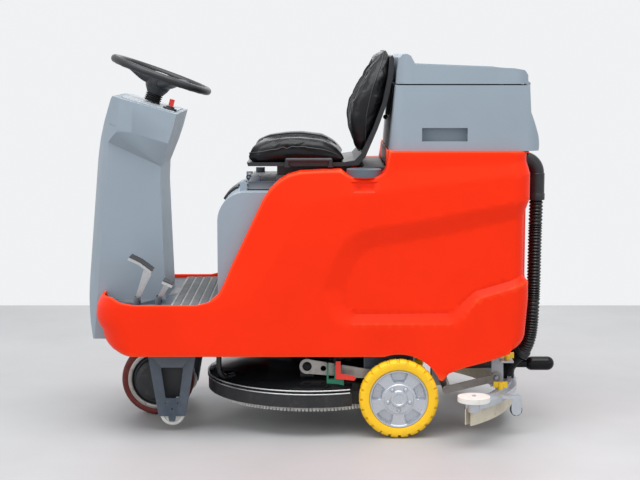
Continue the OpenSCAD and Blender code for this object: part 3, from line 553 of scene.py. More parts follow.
def skin_point(u, z, inset, side):
    (x, y), n = plan(u)
    lean = end_inset(z, n[0] < 0) * n[0]
    return (x - n[0] * inset - lean, -side * (y - n[1] * inset), z)


def to_skin(points):
    return [(along(x), z) for x, z in points]


def gap_to(points, line):
    """Distance from each point to a polyline."""
    p = np.array(points)
    best = np.full(len(p), 1e9)
    for a, b in zip(line[:-1], line[1:]):
        a, b = np.array(a), np.array(b)
        t = np.clip((p - a) @ (b - a) / ((b - a) @ (b - a) + 1e-9), 0, 1)
        best = np.minimum(best, np.linalg.norm(p - (a + t[:, None] * (b - a)), axis=1))
    return best


def inside(points, ring):
    p = np.array(points)
    hit = np.zeros(len(p), bool)
    for (x0, z0), (x1, z1) in zip(ring, ring[1:] + ring[:1]):
        crosses = (z0 > p[:, 1]) != (z1 > p[:, 1])
        hit ^= crosses & (p[:, 0] < (x1 - x0) * (p[:, 1] - z0) / ((z1 - z0) or 1e-9) + x0)
    return hit


def recess(points, outer, inner, depth):
    """Depth of a recess that falls from its outer outline to its inner one."""
    out_gap = gap_to(points, outer + outer[:1])
    in_gap = gap_to(points, inner + inner[:1])
    slope = depth * out_gap / (out_gap + in_gap + 1e-6)
    return np.where(inside(points, inner), depth, np.where(inside(points, outer), slope, 0))


def refined(line, step):
    out = [line[0]]
    for a, b in zip(line[:-1], line[1:]):
        n = max(1, int(math.dist(a, b) / step))
        out += [(a[0] + (b[0] - a[0]) * i / n, a[1] + (b[1] - a[1]) * i / n) for i in range(1, n + 1)]
    return out


def edge_normals(line):
    out = []
    for i in range(len(line)):
        a, b = line[max(i - 1, 0)], line[min(i + 1, len(line) - 1)]
        length = math.dist(a, b)
        out.append((-(b[1] - a[1]) / length, (b[0] - a[0]) / length))
    return out


def body_side(side):
    """One side of the body's skin; side is 1 for the far side and -1 for the near one."""
    scooped = side < 0
    top = [(0, 440), (along(-706), 440)] + to_skin(TOP_LINE)
    if scooped:
        top += to_skin([p for p in SCOOP if p[0] < 194])
    top += to_skin([(196, 843), (206, 900)]) + [(along(628), 900), (U_REAR, 900), (U_END, 900)]
    top = refined(top, 9)
    bottom = [(0, 257)] + to_skin([(-632, 257)] + arc(238, 125, 140, 109.5, 24, 12))
    bottom += to_skin([(376, 180), (395, 204), (440, 221), (520, 243), (578, 264)])
    bottom = refined(bottom + [(U_REAR, 276), (U_END, 276)], 12)
    x_at = [(along(x), x) for x in range(-724, 645, 4)] + [(U_END, 645)]
    top_n = edge_normals(top)
    low_n = edge_normals(bottom)
    r_top = [interp(ROUND, interp(x_at, u)) for u, _ in top]
    low_r = 4
    upper = [(max(0, u - n[0] * r), z - n[1] * r) for (u, z), n, r in zip(top, top_n, r_top)]
    upper[-1] = (U_END, upper[-1][1])
    lower = [(max(0, u + n[0] * low_r), z + n[1] * low_r) for (u, z), n in zip(bottom, low_n)]
    lower[-1] = (U_END, lower[-1][1])
    ring = lower + upper[::-1]

    wrap = [(U_REAR + 80, 489), (U_REAR + 80, 749)]
    panel_out = to_skin(PANEL_OUT) + wrap
    panel_in = to_skin(PANEL_IN) + [(U_REAR + 40, 510), (U_REAR + 40, 699)]
    shoulder = to_skin(SHOULDER) + [(U_END, 830)]
    crease = to_skin(BLOCK_CREASE) + [(U_END, 867)]
    lines = [panel_out + panel_out[:1], panel_in + panel_in[:1], shoulder, crease]
    if scooped:
        pocket = [to_skin(POCKET_OUT), to_skin(POCKET_IN)]
        lines += [p + p[:1] for p in pocket]
    points = [Vector(p) for p in ring]
    edges = [(i, (i + 1) % len(ring)) for i in range(len(ring))]
    for line in lines:
        start = len(points)
        chain = refined(line, 10)
        points += [Vector(p) for p in chain]
        edges += [(start + i, start + i + 1) for i in range(len(chain) - 1)]
    columns = sorted(set(list(np.arange(0, U_END, 14)) + list(np.arange(U_CORNER, U_SIDE, 8))
                         + list(np.arange(U_BACK, U_REAR, 6))))
    grid = [(u, z) for u in columns for z in np.arange(176, 900, 12)]
    free = inside(grid, ring) & (gap_to(grid, ring + ring[:1]) > 4)
    for line in lines:
        free &= gap_to(grid, line) > 4
    points += [Vector(p) for p, ok in zip(grid, free) if ok]
    flat, _, tris, origin, _, _ = delaunay_2d_cdt(points, edges, [list(range(len(ring)))], 1, 1e-4)
    flat = [(v.x, v.y) for v in flat]

    deep = recess(flat, panel_out, panel_in, PANEL_DEPTH)
    to_b = gap_to(flat, shoulder)
    high = [interp([(u, z) for u, z in shoulder], u) for u, _ in flat]
    above = np.array([z > h or u < along(-254) for (u, z), h in zip(flat, high)])
    to_a = gap_to(flat, top)
    over = np.array([u > along(209) and z > interp(crease, u) for u, z in flat])
    to_a = np.where(np.array([u > along(209) for u, _ in flat]), gap_to(flat, crease), to_a)
    fade = np.array([smoothstep(z, 405, 540) for _, z in flat])
    inset = np.where(above, SHOULDER_INSET * to_b / (to_a + to_b + 1e-6), 0)
    inset = np.where(over, SHOULDER_INSET, inset) * fade
    if scooped:
        inset += recess(flat, pocket[0], pocket[1], POCKET_DEPTH)
    inset += deep
    verts = [skin_point(u, z, d, side) for (u, z), d in zip(flat, inset)]
    faces = [list(f) for f in tris]

    # edge rows: rounding over the top, the ledge, rounding down and the inner wall
    where = {}
    for i, parents in enumerate(origin):
        for p in parents:
            where.setdefault(p, i)
    first = len(lower)
    rim = [where[first + len(upper) - 1 - i] for i in range(len(upper))]
    rows = [rim]

    def top_row(make):
        row = []
        for i, ((u, z), n, r) in enumerate(zip(top, top_n, r_top)):
            x = interp(x_at, u)
            sink, inward = make(r, interp(LEDGE, x), interp(WALL, x))
            base = inset[rim[i]]
            row.append(len(verts))
            at = min(max(0, u - n[0] * sink), U_END)
            verts.append(skin_point(at, z - n[1] * sink, base + inward, side))
        rows.append(row)

    for a in (22.5, 45, 67.5, 90):
        s, c = math.sin(math.radians(a)), math.cos(math.radians(a))
        top_row(lambda r, ledge, wall: (r * (1 - s), r * (1 - c)))
    top_row(lambda r, ledge, wall: (0, r + (ledge - 2 * r) * 0.5))
    for a in (90, 60, 30, 0):
        s, c = math.sin(math.radians(a)), math.cos(math.radians(a))
        top_row(lambda r, ledge, wall: (r * (1 - s), ledge - r * (1 - c)))
    top_row(lambda r, ledge, wall: (wall, ledge))
    for a, b in zip(rows[:-1], rows[1:]):
        faces += [[a[i], a[i + 1], b[i + 1], b[i]] for i in range(len(a) - 1)]

    rows = [[where[i] for i in range(len(lower))]]
    for sink, inward in ((low_r * 0.3, low_r * 0.3), (0, low_r), (0, 10), (25, 10)):
        row = []
        for i, ((u, z), n) in enumerate(zip(bottom, low_n)):
            row.append(len(verts))
            verts.append(skin_point(min(max(0, u + n[0] * sink), U_END), z + n[1] * sink,
                                    inset[rows[0][i]] + inward, side))
        rows.append(row)
    for a, b in zip(rows[:-1], rows[1:]):
        faces += [[a[i], b[i], b[i + 1], a[i + 1]] for i in range(len(a) - 1)]

    # end of the skin beside the column
    start = sorted((i for i, (u, _) in enumerate(flat) if u < 1e-3), key=lambda i: flat[i][1])
    turned = []
    for i in start:
        turned.append(len(verts))
        verts.append(skin_point(0, flat[i][1], inset[i] + 11, side))
    faces += [[start[i], start[i + 1], turned[i + 1], turned[i]] for i in range(len(start) - 1)]
    return verts, faces


def orange_body():
    top = box_mesh((208, -286, 893), (640, 286, 898.5))
    front = box_mesh((200, -236, 700), (207, 236, 898))
    skin = joined([body_side(-1), body_side(1)])
    obj = piece("body_skin", *skin, "orange", "chassis", "orange_shell", 28)
    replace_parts(obj, "solution_tank")
    for name, part in (("rear_block_top", top), ("rear_block_front", front)):
        slab = piece(name, *part, "orange", "chassis", "orange_shell", 30)
        rounded(slab, 2.5)
    cup = lathe([(60, 817.4), (57, 817.8), (43, 817), (41, 815), (40, 800)], 48)
    cup = moved(cup, Matrix.Translation((128, -270, 0)))
    piece("filler_pocket", *cup, "orange", "chassis", "orange_shell")


orange_body()

# ---------------------------------------------------------------- grey mouldings and steelwork

COPIES = (("recovery_tank", 3.5), ("recovery_lid", 3), ("column_cowl", 2.5), ("column_panel", 1.5),
          ("seat_console", 2.5), ("console_grip", 2), ("platform_plate", 1.2), ("seat_plate", 2),
          ("seat_shell", 2.5), ("deck_cover", 1.5), ("squeegee_body", 2), ("lever_clip", 0.8),
          ("deck_lever", 0.8), ("key_switch_base", 0.8), ("key_lever", 0.8), ("lid_strap", 0.8),
          ("main_frame", 1), ("drive_motor", 2), ("drive_fork", 2))
WITH_HOLES = ("recovery_tank", "column_cowl", "deck_cover")     # their flat faces stay in pieces
for node, width in COPIES:
    cad_copy(node, width, segments=2 if width <= 1 else 3, look="deck" if node == "deck_cover" else None,
             flat=node not in WITH_HOLES)

# ---------------------------------------------------------------- wheels


SIDES = ((-1, "left"), (1, "right"))
REAR_AXLE = (238, 125, 321)      # X, Z and the wheel's distance from the middle
DRIVE_AXLE = (-550, 120, 0)
TIP_AXLE = (-481, 58, 239)


def onto_axle(part, side, x, z, y):
    """Turns a lathe part's +Z outwards along the axle on one side (-1 near, 1 far)."""
    turn = Matrix.Rotation(-side * pi / 2, 4, "X")
    return moved(part, Matrix.Translation((x, side * y, z)) @ turn)


def tread_notch(a, r, h):
    """Gaps between the tread blocks at the tyre's shoulders."""
    if r > 116 and abs(h) > 7 and (math.degrees(a) % 15) < 2.6:
        return -6.5
    return 0


TYRE = [(92, -22), (103, -24), (113, -24), (117, -23), (121.5, -19), (124.2, -13), (124.6, -7.5),
        (124.6, 0), (124.6, 7.5), (124.2, 13), (121.5, 19), (117, 23), (113, 24), (103, 24), (95, 22.5),
        (92, 18)]


def window(x, a, b, soft):
    return smoothstep(x, a - soft, a) * (1 - smoothstep(x, b, b + soft))


def rim_height(a, r):
    """Face of the rear rim: lip, five pockets, raised centre, cap and bolts."""
    deg = math.degrees(a)
    off = abs((deg - 90 + 36) % 72 - 36)
    h = 2.5 * smoothstep(r, 83, 87) + 3.5 * window(r, 87, 90, 1.5)
    h -= 17 * window(r, 56, 81, 3) * (1 - smoothstep(off, 16 + (r - 68) * 0.06, 19 + (r - 68) * 0.06))
    h += (3 * (1 - smoothstep(r, 45, 48)) + 5 * (1 - smoothstep(r, 24, 27))
          - 1.5 * (1 - smoothstep(r, 16, 18)))
    for k in range(5):
        b = math.radians(90 + 36 + 72 * k)
        d = math.dist((r * math.cos(a), r * math.sin(a)), (36 * math.cos(b), 36 * math.sin(b)))
        h += 4 * (1 - smoothstep(d, 4.2, 5.2)) - 1.2 * window(d, 6.5, 7.5, 1)
    return h


RIM_BACK = ((92.5, 0), (70, 0), (66, 18), (22, 18), (22, 1), (13, 1))     # radius, height over the back


def rim_face(face_h, back_h):
    """The rear rim from its shaped face round to its hollow back."""
    radii = [0.5] + [2 + 1.6 * i for i in range(57)] + [92.5]
    steps = 200
    verts, faces = [], []
    for i in range(steps):
        a = 2 * pi * i / steps
        for r in radii:
            verts.append((r * math.cos(a), r * math.sin(a), face_h + rim_height(a, r)))
        verts += [(r * math.cos(a), r * math.sin(a), back_h + up) for r, up in RIM_BACK]
    n = len(radii) + len(RIM_BACK)
    for i in range(steps):
        j = (i + 1) % steps
        faces += [[i * n + k, j * n + k, j * n + k + 1, i * n + k + 1] for k in range(n - 1)]
    faces.append([i * n for i in range(steps)])
    return verts, faces


for side, word in SIDES:
    body = "rear_wheel_" + word
    tread = onto_axle(lathe(TYRE, 288, closed=True, wobble=tread_notch), side, *REAR_AXLE)
    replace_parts(piece("rear_tyre_tread_" + word, *tread, "yellow_tyre", body, "yellow_tyre", 32),
                "rear_tyre_" + word)
    rim = onto_axle(rim_face(15, -22), side, *REAR_AXLE)
    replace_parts(piece("rear_rim_cast_" + word, *rim, "silver", body, "silver_rim", 34), "rear_rim_" + word)

drive_profile = [(99, -37), (108, -39), (113, -39), (117, -36), (119.6, -29), (120, -15), (120, 0),
                 (120, 15), (119.6, 29), (117, 36), (113, 39), (108, 39), (99, 37)]
drive_tread = onto_axle(lathe(drive_profile, 160, closed=True), -1, *DRIVE_AXLE)
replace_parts(piece("drive_tyre_round", *drive_tread, "maroon", "drive_wheel", "maroon_tyre"), "drive_tyre")
cad_copy("drive_hub", 1.2, 2)
for side, word in SIDES:
    ring = lathe([(86, 36.5), (86, 39.5), (88, 40.6), (96, 40.6), (98.5, 39.5), (98.5, 36.5)], 120,
                 closed=True)
    bolts = [moved(lathe([(0.5, 43.5), (4.2, 43.5), (5, 42.4), (5, 38)], 6),
                   Matrix.Translation((92 * math.cos(a), 92 * math.sin(a), 0)))
             for a in [2 * pi * k / 9 for k in range(9)]]
    trim = onto_axle(joined([ring] + bolts), side, *DRIVE_AXLE)
    piece("drive_ring_" + word, *trim, "steel", "drive_wheel", "cast_housing", 30)


def tip_bracket(side, word):
    """Folded plate with a trapezoid window and edge flanges; a dark sheet set behind the window is painted
    shade.
    """
    outline = [(-556, 262), (-556, 250), (-524, 53), (-521, 51), (-493, 51), (-491, 36), (-488, 34),
               (-474, 34), (-471, 36), (-469, 51), (-441, 51), (-438, 53), (-404, 250), (-404, 262)]
    window_hole = [(-511, 209), (-447, 209), (-444, 206), (-457, 113), (-460, 110), (-498, 110),
                   (-501, 113), (-514, 206)]
    holes = [window_hole] + [arc(x, z, 3.6, 0, 324, 9) for x, z in ((-500, 94), (-462, 94), (-481, 74))]
    front = plate(outline, holes, side * 262, side * 257)
    foot = box_mesh((-556, min(side * 205, side * 262), 256), (-404, max(side * 205, side * 262), 262))
    web = box_mesh((-556, min(side * 205, side * 211), 262), (-404, max(side * 205, side * 211), 302))
    pin = onto_axle(lathe([(0.5, 17.5), (5.9, 17.5), (5.9, -17), (0.5, -17)], 24), side, *TIP_AXLE)
    flanges = []
    for a, b in (((-556, 250), (-524, 53)), ((-404, 250), (-438, 53))):
        turn = 1 if a[0] < TIP_AXLE[0] else -1
        verts = [(x + turn * dx, side * y, z) for x, z in (a, b)
                 for dx, y in ((0, 238), (4, 238), (4, 258), (0, 258))]
        faces = [[0, 1, 2, 3], [7, 6, 5, 4], [0, 4, 5, 1], [1, 5, 6, 2], [2, 6, 7, 3], [3, 7, 4, 0]]
        flanges.append((verts, faces))
    obj = piece("tip_bracket_plate_" + word, *joined([front, foot, web, pin] + flanges), "frame", "chassis",
                "frame_paint", 25)
    rounded(obj, 0.8, 2)
    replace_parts(obj, "tip_bracket_" + word)
    # painted shade: a dark sheet behind the window stands for the shadow seen through it
    shade_sheet = plate([(-530, 256), (-512, 104), (-450, 104), (-430, 256)], [], side * 213, side * 216)
    piece("tip_bracket_shade_sheet_" + word, *shade_sheet, "case", "chassis", "frame_paint", 25)


for side, word in SIDES:
    roller = onto_axle(lathe([(6.2, -12), (30, -12), (36, -11), (39.6, -7), (40, 0), (39.6, 7), (36, 11),
                              (30, 12), (27, 9), (12, 9), (10, 12), (6.2, 12)], 72, closed=True),
                       side, *TIP_AXLE)
    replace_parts(piece("tip_wheel_" + word, *roller, "white", "tip_roller_" + word, "white_plastic"),
                "tip_roller_" + word)
    tip_bracket(side, word)

# ---------------------------------------------------------------- suction hose

PORT_END = [652.9, -62.7, 215.1]
HOSE = [PORT_END, [664, -71, 229], [673, -80, 250], [680, -88, 280], [684, -94, 320], [686, -98, 370],
        [688, -100, 440], [689, -100, 540], [690, -100, 640], [691, -100, 700], [691, -100, 749.5]]


def hose():
    """Ribbed hose, split where the swing takes over from the lift."""
    route = curve_points(HOSE, 40)
    even, left = [route[0]], 0.0
    for a, b in zip(route[:-1], route[1:]):
        left += (b - a).length
        if left >= 1.75:
            even.append(b)
            left = 0.0
    ribs = (18.6, 21.2, 23.0, 21.6)
    split = next(i for i, p in enumerate(even) if p.z > 330)
    split -= split % 4
    parts = (("lower", even[:split + 1], "yoke", "squeegee", 328, 236, 0),
             ("upper", even[split:], "chassis", "yoke", 745, 335, split))
    for word, run, body_a, body_b, z_a, z_b, first in parts:
        tube_part = tube(run, lambda i: ribs[(i + first) % 4], 24)
        obj = piece("hose_" + word, *tube_part, "hose", None, "black_rubber", 60)
        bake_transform(obj)
        if word == "lower":
            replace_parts(obj, "suction_hose")
    collar = lathe([(23.2, 0), (26.5, 0), (27.5, 1.5), (27.5, 20), (26, 22), (23.2, 22)], 40, closed=True)
    piece("hose_collar_top", *moved(collar, Matrix.Translation((691, -100, 729))), "black", "chassis",
          "black_plastic")
    aim = (Vector(HOSE[1]) - Vector(PORT_END)).to_track_quat("Z", "Y").to_matrix().to_4x4()
    low = moved(collar, Matrix.Translation(Vector(PORT_END)) @ aim @ Matrix.Translation((0, 0, 1)))
    piece("hose_collar_low", *low, "black", "squeegee", "black_plastic")


hose()
cad_copy("hose_elbow", 0.8, 2)
cad_copy("suction_port", 0.8, 2, look="deck")

# ---------------------------------------------------------------- brush deck

DECK_X = -42
DECK_R = 341
for z, word in ((150.5, "upper"), (139.5, "lower")):
    band_pts = []
    start = math.degrees(math.acos((92 - DECK_X) / DECK_R)) + 1
    for a in np.arange(start, 360 - start, 2.0):
        x, y = DECK_R * math.cos(math.radians(a)), DECK_R * math.sin(math.radians(a))
        band_pts.append((DECK_X + x, y, z))
    piece("deck_edge_" + word, *tube(band_pts, 2.2, 8), "zinc", "deck", "black_plastic", 60)


def tufts():
    """Bristle tufts in staggered rings, leaning outwards towards their tips."""
    parts = []
    for row, radius in enumerate((196, 224, 252, 278, 297)):
        count = int(2 * pi * radius / (9.5 if radius < 290 else 11))
        lean = 17 * (radius - 180) / 120
        for k in range(count):
            a = 2 * pi * (k + 0.5 * (row % 2)) / count
            c, s = math.cos(a), math.sin(a)
            ring = []
            for h, r, w in ((119, 0, 2.6), (98, lean * 0.5, 3.4), (80.5, lean, 4.2)):
                for q in range(5):
                    t = 2 * pi * q / 5 + a
                    ring.append((DECK_X + (radius + r) * c + w * math.cos(t),
                                 (radius + r) * s + w * math.sin(t), h))
            faces = [[i * 5 + q, i * 5 + (q + 1) % 5, i * 5 + 5 + (q + 1) % 5, i * 5 + 5 + q]
                     for i in range(2) for q in range(5)] + [[14, 13, 12, 11, 10]]
            parts.append((ring, faces))
    return joined(parts)


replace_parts(piece("brush_tufts", *tufts(), "bristle", "brush", "bristle", 50), "brush_bristles")

# ---------------------------------------------------------------- floor mat


def floor_mat():
    """Rubber bed with rows of raised pads."""
    (x0, y0, z0), (x1, y1, z1) = [[c / MM for c in corner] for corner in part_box("floor_mat")]
    base = box_mesh((x0, y0, z0), (x1, y1, z1 - 2.6))
    parts = []
    rows = int((y1 - y0 - 8) / 13)
    cols = int((x1 - x0 - 8) / 26)
    for i in range(cols):
        for j in range(rows):
            cx = x0 + 4 + (i + 0.5) * (x1 - x0 - 8) / cols
            cy = y0 + 4 + (j + 0.5) * (y1 - y0 - 8) / rows
            verts = [(cx + sx * a, cy + sy * b, h) for h, a, b in ((z1 - 2.7, 11.2, 5), (z1, 10.2, 4.2))
                     for sx, sy in ((-1, -1), (1, -1), (1, 1), (-1, 1))]
            parts.append((verts, [[0, 1, 5, 4], [1, 2, 6, 5], [2, 3, 7, 6], [3, 0, 4, 7], [4, 5, 6, 7]]))
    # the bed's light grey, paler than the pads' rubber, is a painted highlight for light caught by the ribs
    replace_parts(piece("mat_base", *base, "mat_bed", "chassis", "mat_rubber", 25), "floor_mat")
    piece("mat_pads", *joined(parts), "mat", "chassis", "mat_rubber", 25)


floor_mat()

# ---------------------------------------------------------------- seat


def puff(obj, cap, frames=20, voxel=5):
    """Swells a closed form under cloth pressure, holding each point within cap millimetres."""
    remesh = modifier(obj, "REMESH", mode="VOXEL", voxel_size=voxel * MM)
    apply_modifier(obj, remesh.name)
    smoothing = modifier(obj, "SMOOTH", factor=0.5, iterations=6)
    apply_modifier(obj, smoothing.name)
    start = np.array([v.co[:] for v in obj.data.vertices])
    cloth = modifier(obj, "CLOTH")
    cloth.settings.use_pressure = True
    cloth.settings.uniform_pressure_force = 4
    cloth.settings.effector_weights.gravity = 0
    cloth.settings.quality = 4
    cloth.settings.tension_stiffness = 18
    cloth.settings.compression_stiffness = 18
    cloth.point_cache.frame_start = 1
    cloth.point_cache.frame_end = frames
    scene = bpy.context.scene
    for f in range(1, frames + 1):
        scene.frame_set(f)
    swollen = obj.evaluated_get(bpy.context.evaluated_depsgraph_get())
    now = np.array([v.co[:] for v in swollen.data.vertices])
    obj.modifiers.clear()
    scene.frame_set(1)
    move = now - start
    size = np.linalg.norm(move, axis=1, keepdims=True)
    move *= np.minimum(1, cap * MM / np.maximum(size, 1e-9))
    obj.data.vertices.foreach_set("co", (start + move).ravel())
    obj.data.update()


def apply_modifier(obj, name):
    bpy.context.view_layer.objects.active = obj
    for other in bpy.context.selected_objects:
        other.select_set(False)
    obj.select_set(True)
    bpy.ops.object.modifier_apply(modifier=name)


def groove(obj, depth_at):
    """Presses channels in along the surface normal; depth_at(x, y, z, normal) is in millimetres."""
    mesh = obj.data
    normals = [v.normal.copy() for v in mesh.vertices]
    for v, n in zip(mesh.vertices, normals):
        v.co -= n * depth_at(v.co.x / MM, v.co.y / MM, v.co.z / MM, n) * MM
    mesh.update()


def grid_solid(front, back):
    """A closed solid between two point grids of the same size that share their border."""
    rows, cols = len(front), len(front[0])
    verts = [p for row in front for p in row] + [p for row in back for p in row]
    faces = []
    for i in range(rows - 1):
        for j in range(cols - 1):
            a = i * cols + j
            faces.append([a, a + 1, a + cols + 1, a + cols])
            b = a + rows * cols
            faces.append([b, b + cols, b + cols + 1, b + 1])
    ring = [j for j in range(cols)] + [i * cols + cols - 1 for i in range(1, rows)]
    ring += [(rows - 1) * cols + j for j in range(cols - 2, -1, -1)]
    ring += [i * cols for i in range(rows - 2, 0, -1)]
    off = rows * cols
    for k in range(len(ring)):
        a, b = ring[k], ring[(k + 1) % len(ring)]
        faces.append([a, b, b + off, a + off])
    return verts, faces


def edge_roll(gap, r):
    """How far a padded edge has turned over, from 0 at r inside the border to 1 on it."""
    return 1 - math.sqrt(max(0, 1 - max(0, 1 - gap / r) ** 2))


def seam(x, centre):
    return math.exp(-((x - centre) / 3.2) ** 2)


def pad(name, solid, channels, node):
    """A vinyl pad, swollen by cloth simulation and then grooved along its channels."""
    obj = piece(name, *solid, "vinyl", "seat", "vinyl", 60)
    puff(obj, 7)
    groove(obj, channels)
    modifier(obj, "SUBSURF", levels=1, render_levels=1)
    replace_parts(obj, node)
    return obj


CUSHION_FRONT, CUSHION_REAR, CUSHION_LOW = -240, 72, 861.5
CUSHION_TOP = [(-240, 886), (-226, 902), (-180, 916), (-120, 924), (-74, 926), (-2, 918), (40, 898),
               (72, 874)]


def cushion_top(x, y):
    """Height of the seat's top: rolled side bolsters round a lower middle."""
    base = interp(CUSHION_TOP, x)
    bolster = 7 * math.exp(-((abs(y) - 182) / 42) ** 2)
    dip = 15 * (1 - smoothstep(abs(y), 105, 165)) * smoothstep(x, -215, -150) * (1 - smoothstep(x, 10, 60))
    return base + bolster - dip


def seat_cushion():
    nx, ny = 44, 60
    top, bottom = [], []
    for i in range(nx):
        row_t, row_b = [], []
        s = i / (nx - 1)
        x = CUSHION_FRONT + (CUSHION_REAR - CUSHION_FRONT) * s
        half = 228 - 26 * (1 - smoothstep(s, 0, 0.16)) ** 2 - 14 * smoothstep(s, 0.72, 1)
        for j in range(ny):
            t = -1 + 2 * j / (ny - 1)
            y = half * t
            edge = min(1 - abs(t), 10) * half
            roll = edge_roll(min(edge, x - CUSHION_FRONT, (CUSHION_REAR - x) * 1.4), 26)
            low, high = CUSHION_LOW, cushion_top(x, y) - 3
            mid = low + (high - low) * 0.42
            row_t.append((x, y, high - (high - mid) * roll))
            row_b.append((x, y, low + (mid - low) * roll * 0.75))
        top.append(row_t)
        bottom.append(row_b)

    def channels(x, y, z, n):
        if n.z < 0.3 or z < 880:
            return 0
        side = 2.6 * seam(abs(y), 140) * window(x, -210, 40, 14)
        across = sum(2.4 * seam(x, c) for c in (-150, -92, -34)) * (abs(y) < 138)
        return side + across

    return pad("seat_cushion_pad", grid_solid(top, bottom), channels, "seat_cushion")


BACK_LOW, BACK_HIGH = 884, 1215
BACK_FRONT = [(884, 110), (905, 100), (950, 89), (999, 83), (1047, 91), (1098, 115), (1160, 148),
              (1204, 178), (1215, 190)]
BACK_REAR = [(884, 118), (905, 134), (966, 160), (1045, 189), (1130, 206), (1190, 213), (1215, 206)]


def back_half(z):
    """Half width of the backrest at a height."""
    return interp([(884, 176), (920, 196), (980, 206), (1060, 202), (1130, 182), (1180, 150),
                   (1215, 108)], z)


def seat_backrest():
    nz, ny = 64, 60
    front, back = [], []
    for i in range(nz):
        z = BACK_LOW + (BACK_HIGH - BACK_LOW) * i / (nz - 1)
        half = back_half(z)
        row_f, row_b = [], []
        for j in range(ny):
            t = -1 + 2 * j / (ny - 1)
            y = half * t
            roll = edge_roll(min((1 - abs(t)) * half, (z - BACK_LOW) * 1.3, (BACK_HIGH - z) * 1.3), 30)
            xf, xb = interp(BACK_FRONT, z) + 4, interp(BACK_REAR, z) - 2
            hollow = 24 * (1 - smoothstep(abs(y), 0.48 * half, 0.8 * half)) * window(z, 930, 1150, 40)
            mid = xb - (xb - xf) * 0.3
            row_f.append((min(xf + hollow, xb - 12) + (mid - xf - hollow) * roll * 0.9, y, z))
            row_b.append((xb - (xb - mid) * roll * 0.8, y, z))
        front.append(row_f)
        back.append(row_b)

    def channels(_, y, z, n):
        if n.x > -0.3:
            return 0
        half = back_half(z)
        side = 2.6 * seam(abs(y), 0.6 * half) * window(z, 910, 1165, 14)
        across = sum(2.4 * seam(z, c) for c in (960, 1025, 1090)) * (abs(y) < 0.6 * half)
        return side + across

    return pad("seat_back_pad", grid_solid(front, back), channels, "seat_backrest")


def piping(name, obj, points, radius=2.2):
    """A welt laid on the nearest surface of a pad along points."""
    deps = bpy.context.evaluated_depsgraph_get()
    skin = obj.evaluated_get(deps)
    run = []
    for p in curve_points(points, 8):
        _, spot, normal, _ = skin.closest_point_on_mesh(Vector(p) * MM)
        run.append((spot + normal * 0.0006) / MM)
    piece(name, *tube(run, radius, 8), "piping", "seat", "vinyl", 60)


cushion = seat_cushion()
backrest = seat_backrest()
for side, word in SIDES:
    piping("cushion_welt_" + word, cushion,
           [(-244, 0, 884), (-242, side * 110, 884), (-236, side * 180, 886), (-210, side * 224, 892),
            (-150, side * 234, 900), (-74, side * 234, 906), (0, side * 232, 900), (50, side * 222, 884)])
    piping("cushion_seam_" + word, cushion,
           [(-222, side * 120, 912), (-180, side * 150, 925), (-74, side * 150, 935),
            (20, side * 146, 920)])
    piping("back_welt_" + word, backrest,
           [(150, side * 190, 900), (138, side * 208, 950), (140, side * 214, 1010),
            (150, side * 210, 1070), (168, side * 190, 1130), (184, side * 160, 1175),
            (194, side * 100, 1206), (196, 0, 1214)])
    piping("back_seam_" + word, backrest,
           [(90, side * 120, 905), (84, side * 150, 950), (76, side * 158, 1000), (84, side * 156, 1050),
            (112, side * 142, 1100), (146, side * 118, 1150), (168, side * 60, 1178), (170, 0, 1182)])

# ---------------------------------------------------------------- steering wheel


COLUMN_TOP = Matrix.Translation((-528, 0, 1130)) @ Matrix.Rotation(math.radians(20), 4, "Y")


def steering_wheel():
    """Rim with finger bumps underneath, three dished spokes and a boss."""
    turns, sides, ring_r, thick = 180, 20, 159, 13.6
    verts, faces = [], []
    for i in range(turns):
        a = 2 * pi * i / turns
        for k in range(sides):
            t = 2 * pi * k / sides
            bump = 0.7 * max(0, math.cos(24 * a)) * (1 - smoothstep(math.sin(t), -0.9, 0.1))
            r = thick - 0.9 + bump
            out = ring_r + r * math.cos(t)
            verts.append((out * math.cos(a), out * math.sin(a), r * 0.96 * math.sin(t)))
    for i in range(turns):
        j = (i + 1) % turns
        faces += [[i * sides + k, j * sides + k, j * sides + (k + 1) % sides, i * sides + (k + 1) % sides]
                  for k in range(sides)]
    rim = (verts, faces)
    spokes = []
    for turn in (60, 180, 300):
        rows, ring_n = 14, 16
        sv, sf = [], []
        for i in range(rows):
            s = i / (rows - 1)
            r = 26 + (ring_r - 5 - 26) * s
            half = 25 - 9 * smoothstep(s, 0, 0.7) + 5 * smoothstep(s, 0.8, 1)
            mid = -24 + 22 * smoothstep(s, 0.1, 1)
            deep = 17 - 10 * smoothstep(s, 0, 0.75)
            for k in range(ring_n):
                t = 2 * pi * k / ring_n
                c, w = math.cos(t), math.sin(t)
                y = half * math.copysign(abs(c) ** 0.6, c)
                z = mid + deep * math.copysign(abs(w) ** 0.6, w)
                sv.append((r, y, z))
        for i in range(rows - 1):
            sf += [[i * ring_n + k, i * ring_n + (k + 1) % ring_n, (i + 1) * ring_n + (k + 1) % ring_n,
                    (i + 1) * ring_n + k] for k in range(ring_n)]
        sf += [list(range(ring_n))[::-1], [(rows - 1) * ring_n + k for k in range(ring_n)]]
        spokes.append(moved((sv, sf), Matrix.Rotation(math.radians(turn), 4, "Z")))
    boss = lathe([(0.5, 2), (26, 2), (34, 0), (40, -5), (43, -14), (43, -34), (38, -48), (29, -62),
                  (27, -66), (11, -66)], 64)
    cap = lathe([(0.5, 6), (20, 5.4), (26, 4), (28, 1.5)], 64)
    wheel = moved(joined([rim] + spokes), COLUMN_TOP)
    grip = piece("steering_rim", *wheel, "wheel_grip", "steering", "black_plastic", 50)
    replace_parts(grip, "steering_wheel")
    hub = piece("steering_boss", *moved(boss, COLUMN_TOP), "black", "steering", "black_plastic", 35)
    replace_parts(hub, "steering_hub")
    piece("steering_cap", *moved(cap, COLUMN_TOP), "deck", "steering", "black_plastic", 35)


steering_wheel()


